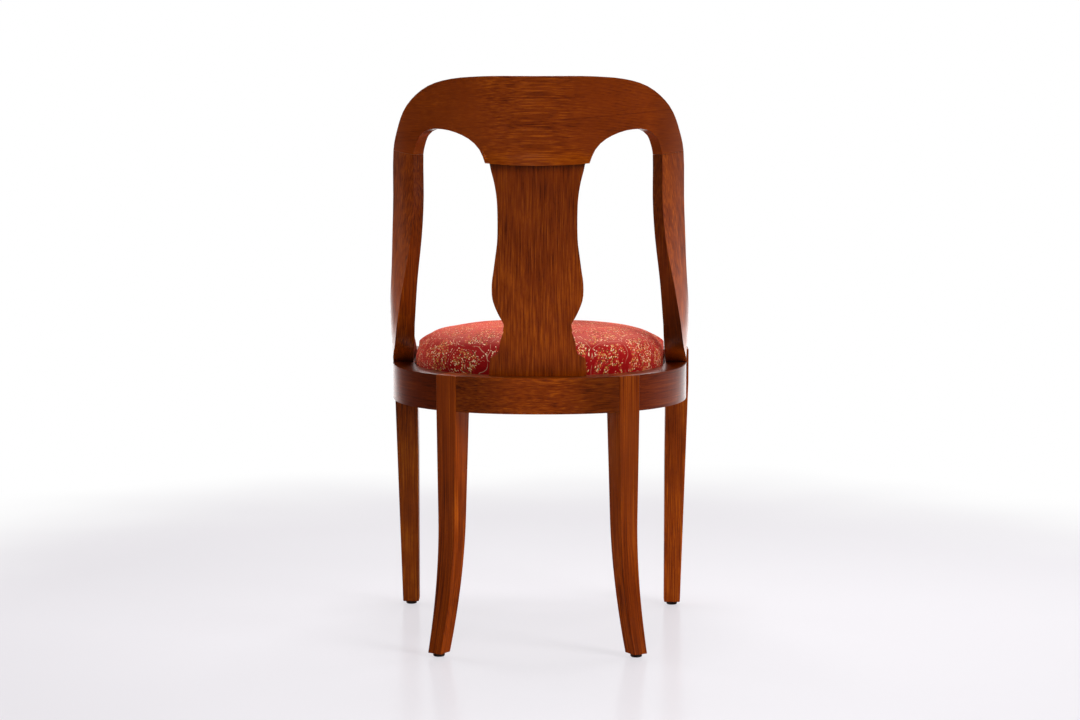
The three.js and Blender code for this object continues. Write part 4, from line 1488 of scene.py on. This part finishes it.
    def _settled(self, piece: bpy.types.Object) -> bpy.types.Mesh:
        """The mesh of a piece with its modifiers applied, as it stands at this frame."""
        depsgraph = bpy.context.evaluated_depsgraph_get()
        return bpy.data.meshes.new_from_object(piece.evaluated_get(depsgraph))

    def fill(self, piece: bpy.types.Object) -> None:
        """Fills the cushion by a short cloth simulation, and lays its points on the filled form.

        Args:
            piece: The cushion, whose points are moved.
        """
        slack = self._slackened(piece)
        held = slack.vertex_groups.new(name="held")
        held.add([v.index for v in slack.data.vertices if v.co.z < self.ring.top], 1.0, "REPLACE")
        cloth = slack.modifiers.new("cloth", "CLOTH")
        settings = cloth.settings
        settings.quality = 5
        settings.mass = 0.3
        settings.tension_stiffness = 15.0
        settings.compression_stiffness = 15.0
        settings.bending_stiffness = 1.0
        settings.use_pressure = True
        settings.uniform_pressure_force = self.pressure
        settings.effector_weights.gravity = 0.0
        settings.vertex_group_mass = held.name
        cloth.collision_settings.use_collision = False
        cloth.point_cache.frame_start = 1
        cloth.point_cache.frame_end = self.fill_frames
        for step in range(1, self.fill_frames + 1):
            bpy.context.scene.frame_set(step)
        filled = self._settled(slack)
        corners = [vertex.co for vertex in filled.vertices]
        skin = BVHTree.FromPolygons(corners, [face.vertices for face in filled.polygons])
        bpy.context.scene.frame_set(1)
        bpy.data.objects.remove(slack)
        self._lay_on(piece, skin)

    def _lay_on(self, piece: bpy.types.Object, skin: BVHTree) -> None:
        """Moves the cushion's free points along their normals on to the filled skin.

        Args:
            piece: The cushion.
            skin: The filled form.
        """
        reach = self.slack + self.swell_limit
        vertices = piece.data.vertices
        moves = []
        for vertex in vertices:
            start = vertex.co - vertex.normal * (2.0 * reach)
            place = skin.ray_cast(start, vertex.normal, 4.0 * reach)[0]
            move = (place - vertex.co).dot(vertex.normal) if place else 0.0
            moves.append(min(max(move, -self.slack), self.swell_limit) * self._freedom(vertex.co))
        for _ in range(self.smooth_rounds):
            sums = list(moves)
            counts = [1] * len(moves)
            for edge in piece.data.edges:
                a, b = edge.vertices
                sums[a] += moves[b]
                sums[b] += moves[a]
                counts[a] += 1
                counts[b] += 1
            moves = [total / count for total, count in zip(sums, counts)]
        LOG.info("cushion fill: %.1f to %.1f mm", min(moves) / MM, max(moves) / MM)
        normals = [vertex.normal.copy() for vertex in vertices]
        for vertex, normal, move in zip(vertices, normals, moves):
            vertex.co += normal * move
        piece.data.update()

    def dress(self, cloth: bpy.types.Material) -> bpy.types.Object:
        """Builds, fills and finishes the cushion, which stands for the soft solids.

        Args:
            cloth: The cover's cloth.

        Returns:
            The finished cushion.
        """
        piece = self.build()
        self.fill(piece)
        piece.data.materials.append(cloth)
        smooth = piece.modifiers.new("smooth_cloth", "SUBSURF")
        smooth.levels = smooth.render_levels = 1
        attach(piece, "root")
        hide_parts("seat_cover", "seat_foam")
        return piece


@dataclass
class DustSheet:
    """The black cloth stapled under the seat board, which hangs a little between its edges."""

    ring: SeatRing
    inset: float = 45.0 * MM
    thickness: float = 0.6 * MM
    sag: float = 5.0 * MM
    under_rabbet: float = 0.2 * MM
    taut_share: float = 0.3
    steps: int = 14
    outline_steps: tuple[int, int, int] = (24, 6, 6)

    def build(self) -> bpy.types.Object:
        """Makes the cloth.

        Returns:
            The cloth, with its thickness.
        """
        top = self.ring.top - self.ring.rabbet_depth - self.under_rabbet
        middle = Vector((0.0, self.ring.middle_y))
        outline = [Vector(spot) for spot in self.ring.outline(self.inset, *self.outline_steps)]
        size = len(outline)
        points = []
        for step in range(self.steps):
            share = step / self.steps
            slack_share = max(0.0, (share - self.taut_share) / (1.0 - self.taut_share))
            drop = self.sag * slack_share**2 * (3.0 - 2.0 * slack_share)
            for spot in outline:
                flat = spot.lerp(middle, share)
                points.append(Vector((flat.x, flat.y, top - drop)))
        faces = band_faces(self.steps, size)
        faces += cap_faces((self.steps - 1) * size, size, len(points))
        points.append(Vector((middle.x, middle.y, top - self.sag)))
        return new_piece("dust_sheet", points, faces)

    def dress(self, cloth: bpy.types.Material) -> bpy.types.Object:
        """Builds and finishes the sheet.

        Args:
            cloth: The sheet's cloth.

        Returns:
            The finished sheet.
        """
        piece = self.build()
        piece.data.materials.append(cloth)
        body = piece.modifiers.new("thickness", "SOLIDIFY")
        body.thickness = self.thickness
        body.offset = 1.0
        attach(piece, "root")
        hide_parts("dust_cover")
        low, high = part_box("dust_cover")
        high.x - low.x
        high.y - low.y
        return piece


@dataclass
class WoodenFrame:
    """The stained frame: crest, stiles, splat, rails and legs, each cut from its own board."""

    ring: SeatRing
    edge_radius: float = 1.5 * MM
    back_edge_radius: float = 0.25 * MM
    back_pieces: tuple[str, ...] = ("crest_rail", "back_splat", "left_stile", "right_stile")

    def boards(self) -> dict[str, LacqueredBeech]:
        """Chooses a board for each piece.

        Returns:
            The boards by the names of their pieces.
        """
        right, left, up, back = (-1.0, 0.0, 0.0), (1.0, 0.0, 0.0), (0.0, 0.0, 1.0), (0.0, 1.0, 0.0)
        left_inside, right_inside = (-0.64, 0.77, 0.0), (0.64, 0.77, 0.0)
        left_kick, right_kick = (0.539, 0.842, 0.0), (-0.539, 0.842, 0.0)
        barrel = Barrel()
        top = RoundedTop(self.ring)
        side_rail = {
            "ring_strength": 0.4, "fibre_strength": 0.6, "fleck_strength": 0.1, "tint": (1.0, 0.8, 1.6),
            "top": top, "bend": barrel,
        }
        stile = {"fibre_strength": 0.85, "fleck_strength": 0.2, "fibre_rate": 8.0}
        rear_leg = {
            "fibre_strength": 0.9, "fleck_strength": 0.15, "figure_strength": 0.2, "fibre_rate": 7.0,
            "top": top,
        }
        return {
            "crest_rail": LacqueredBeech(
                "crest_beech", Grain.ACROSS, heart=(0.05, 0.14, 0.70), seed=1.3, lightness=1.08,
                fibre_strength=0.8, fleck_strength=0.4, band_strength=0.3, strand_strength=0.35,
                # painted light: a lighter band along the crest's lip
                fibre_rate=17.0, bend=barrel, painted_lip_light_below=0.772,
                glue_line=GlueLine(height=0.816, slope=-0.086),
                calm_ends=CalmEnds(middle_x=0.016, start=0.03, end=0.1),
                # painted shade: the crest's right end (-X) darker
                painted_shades=(PaintedShade(right, start=0.155, end=0.2, share=0.26),),
            ),
            "back_splat": LacqueredBeech(
                "splat_beech", Grain.UPRIGHT, heart=(0.09, 0.05, 0.0), seed=2.1, lightness=1.23,
                ring_strength=0.15, fibre_strength=0.78, fleck_strength=0.25, figure_strength=0.8,
                band_strength=0.12, strand_strength=0.12, cloud_strength=0.75, fibre_rate=24.0,
                bend=Barrel(roundness=2.2, lean=40.0 * MM),
                # painted shade: the splat darker towards its top, and a painted shadow just under the
                # crest's lip
                painted_shades=(
                    PaintedShade(up, start=0.44, end=0.72, share=0.26),
                    PaintedShade(up, start=0.738, end=0.754, share=0.55),
                ),
            ),
            "left_stile": LacqueredBeech(
                "left_stile_beech", Grain.LEFT_STILE, heart=(0.1, 0.0, 0.5), seed=3.4, lightness=1.36,
                # painted shade: inner faces darker, the stile darker towards its top, and inner faces
                # darker near the foot
                painted_shades=(
                    PaintedShade(left_inside, start=0.45, end=0.8, share=0.16, by_facing=True),
                    PaintedShade(up, start=0.52, end=0.78, share=0.28),
                    PaintedShade(up, start=0.56, end=0.45, share=0.5, only_faces=left_inside),
                ),
                **stile,
            ),
            "right_stile": LacqueredBeech(
                "right_stile_beech", Grain.RIGHT_STILE, heart=(-0.1, 0.0, 0.5), seed=4.2, lightness=1.43,
                # painted shade: inner faces darker, the stile darker towards its top, inner faces darker
                # low down, and back faces darker at the foot
                painted_shades=(
                    PaintedShade(right_inside, start=0.45, end=0.8, share=0.48, by_facing=True),
                    PaintedShade(up, start=0.52, end=0.78, share=0.35),
                    PaintedShade(up, start=0.64, end=0.48, share=0.6, only_faces=right_inside),
                    PaintedShade(up, start=0.48, end=0.445, share=0.4, only_faces=back),
                ),
                **stile,
            ),
            "rear_seat_rail": LacqueredBeech(
                "rear_rail_beech", Grain.REAR_RAIL, heart=(0.0, 0.271, 0.403), seed=5.1, lightness=1.22,
                ring_strength=0.35, fibre_strength=0.75, fleck_strength=0.1, figure_strength=0.4,
                top=top, bend=Barrel(roundness=2.2),
                # painted shade: the rail darker towards both ends
                painted_shades=(
                    PaintedShade(left, start=0.02, end=0.1, share=0.35),
                    PaintedShade(right, start=0.02, end=0.1, share=0.48),
                ),
            ),
            "left_seat_rail": LacqueredBeech(
                "left_rail_beech", Grain.ACROSS, heart=(0.0, 0.18, 0.35), seed=6.6, lightness=0.95,
                # painted shade: the rail darker everywhere but its outermost end
                painted_shades=(PaintedShade(right, start=-0.227, end=-0.205, share=0.45),), **side_rail,
            ),
            "right_seat_rail": LacqueredBeech(
                "right_rail_beech", Grain.ACROSS, heart=(0.0, 0.17, 0.35), seed=7.3, lightness=0.68,
                **side_rail,
            ),
            "front_seat_rail": LacqueredBeech(
                "front_rail_beech", Grain.ACROSS, heart=(0.0, -0.1, 0.3), seed=8.8,
            ),
            "rear_left_leg": LacqueredBeech(
                "rear_left_beech", Grain.UPRIGHT, heart=(0.25, 0.1, 0.0), seed=9.4, lightness=1.42,
                bend=SabreKick(left_kick),
                # painted shade: the faces that turn to the back darker than the side
                painted_shades=(PaintedShade(left_kick, start=0.6, end=0.9, share=0.13, by_facing=True),),
                **rear_leg,
            ),
            "rear_right_leg": LacqueredBeech(
                "rear_right_beech", Grain.UPRIGHT, heart=(-0.26, 0.12, 0.0), seed=10.7, lightness=1.4,
                bend=SabreKick(right_kick),
                # painted shade: the leg darker towards its top
                painted_shades=(PaintedShade(up, start=0.12, end=0.28, share=0.24),), **rear_leg,
            ),
            "front_left_leg": LacqueredBeech(
                "front_left_beech", Grain.UPRIGHT, heart=(0.3, -0.1, 0.0), seed=11.2, lightness=1.18,
                fibre_strength=0.7, fleck_strength=0.2, figure_strength=0.8, cloud_strength=1.4,
                band_strength=0.2, strand_strength=0.3, tint=(0.98, 1.14, 1.3),
            ),
            "front_right_leg": LacqueredBeech(
                "front_right_beech", Grain.UPRIGHT, heart=(-0.3, -0.12, 0.0), seed=12.9, lightness=1.62,
                fibre_strength=0.8, fleck_strength=0.2, figure_strength=0.6, cloud_strength=1.1,
                # painted shade: the leg darker towards its top
                band_strength=0.3, painted_shades=(PaintedShade(up, start=0.12, end=0.26, share=0.15),),
            ),
        }

    def dress(self) -> list[bpy.types.Object]:
        """Softens the edges and lays the finish on every board.

        Returns:
            The dressed pieces.
        """
        dressed = []
        for name, board in self.boards().items():
            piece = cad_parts[name]
            soften_edges(piece, self.back_edge_radius if name in self.back_pieces else self.edge_radius)
            repaint(piece, board.material())
            dressed.append(piece)
        return dressed


@dataclass
class Joinery:
    """What holds the chair together and is hardly seen: blocks, dowels, screws, seat board and glides."""

    edge_radius: float = 0.5 * MM

    def finish_for(self, name: str) -> "PlainFinish | None":
        """The finish of a small node.

        Args:
            name: The node's name.

        Returns:
            The finish, or None if another class dresses the node.
        """
        if name.endswith("glide"):
            return GlidePlastic()
        if "screw" in name:
            return PlatedSteel()
        if "dowel" in name or name.endswith("block"):
            return BareBeech()
        if name == "seat_board":
            return Plywood()
        return None

    def dress(self) -> list[bpy.types.Object]:
        """Lays the finishes on the small nodes.

        Returns:
            The dressed pieces.
        """
        made: dict[str, bpy.types.Material] = {}
        dressed = []
        for name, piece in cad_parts.items():
            finish = self.finish_for(name)
            if finish is None:
                continue
            if finish.name not in made:
                made[finish.name] = finish.material()
            soften_edges(piece, self.edge_radius)
            repaint(piece, made[finish.name])
            dressed.append(piece)
        return dressed


def soften_edges(piece: bpy.types.Object, radius: float) -> None:
    """Rounds a wooden piece's sharp edges and shades its curves smooth.

    Args:
        piece: The construction node.
        radius: The rounding's width.
    """
    for face in piece.data.polygons:
        face.use_smooth = True
    weld = piece.modifiers.new("weld", "WELD")
    weld.merge_threshold = WELD_REACH
    edges = piece.modifiers.new("soft_edges", "BEVEL")
    edges.width = radius
    edges.segments = EDGE_SEGMENTS
    edges.limit_method = "ANGLE"
    edges.angle_limit = SHARP_ANGLE
    edges.use_clamp_overlap = True
    flat = piece.modifiers.new("flat_faces", "WEIGHTED_NORMAL")
    flat.mode = "FACE_AREA"


def repaint(piece: bpy.types.Object, material: bpy.types.Material) -> None:
    """Gives every material slot of a piece one finish.

    Args:
        piece: The piece.
        material: The finish.
    """
    if not piece.material_slots:
        piece.data.materials.append(material)
    for place in piece.material_slots:
        place.material = material


def stand(item: bpy.types.Object, spot: Vector, ahead: Vector) -> None:
    """Puts a camera or a lamp in the scene.

    Args:
        item: The camera or lamp.
        spot: Its place.
        ahead: The way that it looks.
    """
    item.matrix_world = Matrix.Translation(spot) @ ahead.to_track_quat("-Z", "Y").to_matrix().to_4x4()
    bpy.context.scene.collection.objects.link(item)


@dataclass(frozen=True)
class SoftBox:
    """A soft lamp: its place, its width and length, its power in watts, and what it is for."""

    name: str
    spot: Spot
    size: Plan
    power: float
    gleams: bool = False
    lights: bool = True

    def hang(self, aim: Vector) -> None:
        """Puts the lamp in the scene.

        Args:
            aim: The place that it faces.
        """
        light = bpy.data.lights.new(self.name, "AREA")
        light.shape = "RECTANGLE"
        light.size, light.size_y = self.size
        light.energy = self.power
        lamp = bpy.data.objects.new(self.name, light)
        lamp.visible_glossy = self.gleams
        lamp.visible_diffuse = self.lights
        lamp.visible_camera = False
        stand(lamp, Vector(self.spot), aim - Vector(self.spot))


@dataclass(frozen=True)
class Studio:
    """Pale sweep, soft lamps and the camera behind the chair."""

    widest_y: float = -9.0 * MM
    camera_x: float = -68.8 * MM
    camera_y: float = 4.2705
    camera_z: float = 0.939
    camera_turn: float = 0.016
    camera_drop: float = 0.118
    focal_pixels: float = 2711.0
    frame_pixels: float = 1080.0
    sensor: float = 36.0
    aim: Spot = (0.0, 0.05, 0.5)
    floor_half: float = 14.0
    floor_colour: Colour = (0.892, 0.866, 0.904)
    floor_near: float = 0.9
    floor_reach: float = 1.7
    floor_lift: float = 0.62
    patch_scale: float = 1.3
    patch_reach: float = 0.5
    # painted shade on the floor, from under the chair to beyond it
    painted_floor_shade_ends: Ends = (0.1, -1.2)
    painted_floor_shade: float = 0.14
    sweep_near: float = 1.8
    sweep_far: float = 3.0
    sweep_gain: float = 1.75
    sweep_depth: Ends = (1.0, -3.0)
    sweep_right: Ends = (2.6, 1.1)
    sweep_left: Ends = (-2.6, -0.8)
    sweep_left_rest: float = 0.05
    wash_reach: Ends = (4.3, 3.3)
    wash_side: Ends = (-0.8, -2.2)
    wash_depth: Ends = (1.6, -1.2)
    wash_share: float = 0.34
    backdrop_way: Way = (-0.04, -1.0, 0.0)
    backdrop_edge: Ends = (0.94, 0.988)
    behind_edge: Ends = (-0.2, 0.9)
    above_edge: Ends = (0.5, 0.95)
    room_level: float = 0.11
    mirror_level: float = 0.02
    mirror_behind: float = 0.04
    mirror_above: float = 0.15
    soft_boxes: tuple[SoftBox, ...] = (
        SoftBox("top_box", (0.0, -0.1, 2.4), (0.8, 0.6), 23.0, gleams=True),
        SoftBox("edge_box", (0.0, -0.1, 2.6), (1.6, 1.2), 110.0, gleams=True, lights=False),
        SoftBox("back_box", (-0.2, -2.7, 2.0), (2.4, 0.8), 26.0, gleams=True),
        SoftBox("key_box", (-2.75, 1.7, 1.9), (1.3, 1.6), 68.0),
        SoftBox("front_box", (0.4, 3.8, 1.4), (1.2, 1.2), 35.0),
        SoftBox("fill_box", (2.3, -1.5, 0.6), (1.2, 1.2), 47.0),
        SoftBox("side_box", (-2.3, -1.5, 0.6), (1.2, 1.2), 40.0),
    )

    def camera(self) -> None:
        """Puts the camera where the photographer stood."""
        lens = bpy.data.cameras.new("studio_camera")
        lens.sensor_fit = "HORIZONTAL"
        lens.sensor_width = self.sensor
        lens.lens = self.focal_pixels / self.frame_pixels * self.sensor
        lens.clip_end = 60.0
        camera = bpy.data.objects.new("studio_camera", lens)
        level = math.cos(self.camera_drop)
        across, forward = math.sin(self.camera_turn) * level, math.cos(self.camera_turn) * level
        spot = Vector((self.camera_x, self.camera_y + self.widest_y, self.camera_z))
        stand(camera, spot, Vector((across, -forward, -math.sin(self.camera_drop))))
        bpy.context.scene.camera = camera

    def _sweep(self, place: Triple, reach: Scalar) -> Scalar:
        """Where the floor rises into the sweep that glossy surfaces mirror.

        Args:
            place: The point's place on the floor.
            reach: How far it lies from the chair.

        Returns:
            0 on the floor and 1 on the sweep.
        """
        left_rest = self.sweep_left_rest
        sides = left_rest + place.x.step(*self.sweep_left) * (1.0 - left_rest)
        sides = place.x.step(*self.sweep_right) * sides
        wash = reach.step(*self.wash_reach) * place.x.step(*self.wash_side)
        wash = wash * place.y.step(*self.wash_depth) * self.wash_share
        lit = (place.y.step(*self.sweep_depth) * sides + wash).at_most(1.0)
        return reach.step(self.sweep_near, self.sweep_far) * lit

    def floor(self) -> None:
        """Lays the pale floor, which fades into the white all round the chair."""
        sides = ((-1.0, -1.0), (1.0, -1.0), (1.0, 1.0), (-1.0, 1.0))
        corners = [Vector((x, y, 0.0)) * self.floor_half for x, y in sides]
        piece = new_piece("studio_floor", corners, [(0, 1, 2, 3)])
        graph = Graph.named("studio_floor")
        place = graph.place()
        reach = (place.x * place.x + place.y * place.y) ** 0.5
        patches = (place.noise(self.patch_scale) - NOISE_MIDDLE) * self.patch_reach
        far = (reach + patches).step(self.floor_near, self.floor_reach)
        # painted shade: the floor darker from under the chair out to its far side
        shade = 1.0 - place.y.step(*self.painted_floor_shade_ends) * self.painted_floor_shade
        near_colour = graph.grey(shade) * self.floor_colour
        colour = graph.mix(far, near_colour, WHITE)
        rays = graph.node("ShaderNodeLightPath")
        seen, mirrored = rays.scalar("Is Camera Ray"), rays.scalar("Is Glossy Ray")
        sweep = self._sweep(place, reach)
        gain = graph.grey(1.0 + mirrored * self.sweep_gain)
        lift = graph.node("ShaderNodeEmission", None, {"Color": colour * gain})
        carpet = graph.mix(mirrored * (1.0 - sweep), near_colour, BLACK)
        surface = {"Base Color": carpet, "Roughness": 0.19, "Specular IOR Level": 0.6}
        ground = graph.node("ShaderNodeBsdfPrincipled", None, surface)
        white = seen * (self.floor_lift + far * (1.0 - self.floor_lift)) + mirrored * sweep * far
        graph.finish("ShaderNodeOutputMaterial", graph.blend(white, ground, lift))
        piece.data.materials.append(graph.owner)

    def world(self) -> None:
        """Surrounds the chair with white; glossy surfaces mirror it only where it stands behind."""
        world = bpy.data.worlds.new("studio_world")
        bpy.context.scene.world = world
        graph = Graph(world)
        way = graph.node("ShaderNodeTexCoord").triple("Generated")
        rays = graph.node("ShaderNodeLightPath")
        seen = rays.scalar("Is Camera Ray").at_least(rays.scalar("Is Transmission Ray"))
        mirrored = rays.scalar("Is Glossy Ray")
        behind = way.dot((0.0, -1.0, 0.0)).step(*self.behind_edge)
        room = self.room_level + behind * (1.0 - abs(way.z))
        backdrop = way.dot(tuple(Vector(self.backdrop_way).normalized())).step(*self.backdrop_edge)
        above = way.z.step(*self.above_edge)
        mirror = self.mirror_level + behind * self.mirror_behind + above * self.mirror_above + backdrop
        level = room * (1.0 - mirrored) + mirror * mirrored
        level = level * (1.0 - seen) + seen
        glow = graph.node("ShaderNodeBackground", None, {"Color": graph.grey(level)})
        graph.finish("ShaderNodeOutputWorld", glow)

    def build(self) -> None:
        """Sets up the whole studio."""
        self.camera()
        self.floor()
        for soft_box in self.soft_boxes:
            soft_box.hang(Vector(self.aim))
        self.world()
        bpy.context.scene.view_settings.view_transform = "Standard"


def report(pieces: list[bpy.types.Object]) -> None:
    """Logs each finished piece.

    Args:
        pieces: The pieces.
    """
    for piece in pieces:
        LOG.info("%s: %d faces", piece.name, len(piece.data.polygons))


def main() -> None:
    """Dresses the chair and sets up the studio."""
    logging.basicConfig(level=logging.INFO)
    ring = SeatRing()
    Studio().build()
    report(WoodenFrame(ring).dress())
    report(Joinery().dress())
    report([SeatCushion(ring).dress(Brocade().material())])
    report([DustSheet(ring).dress(DustCloth().material())])


if __name__ == "__main__":
    main()
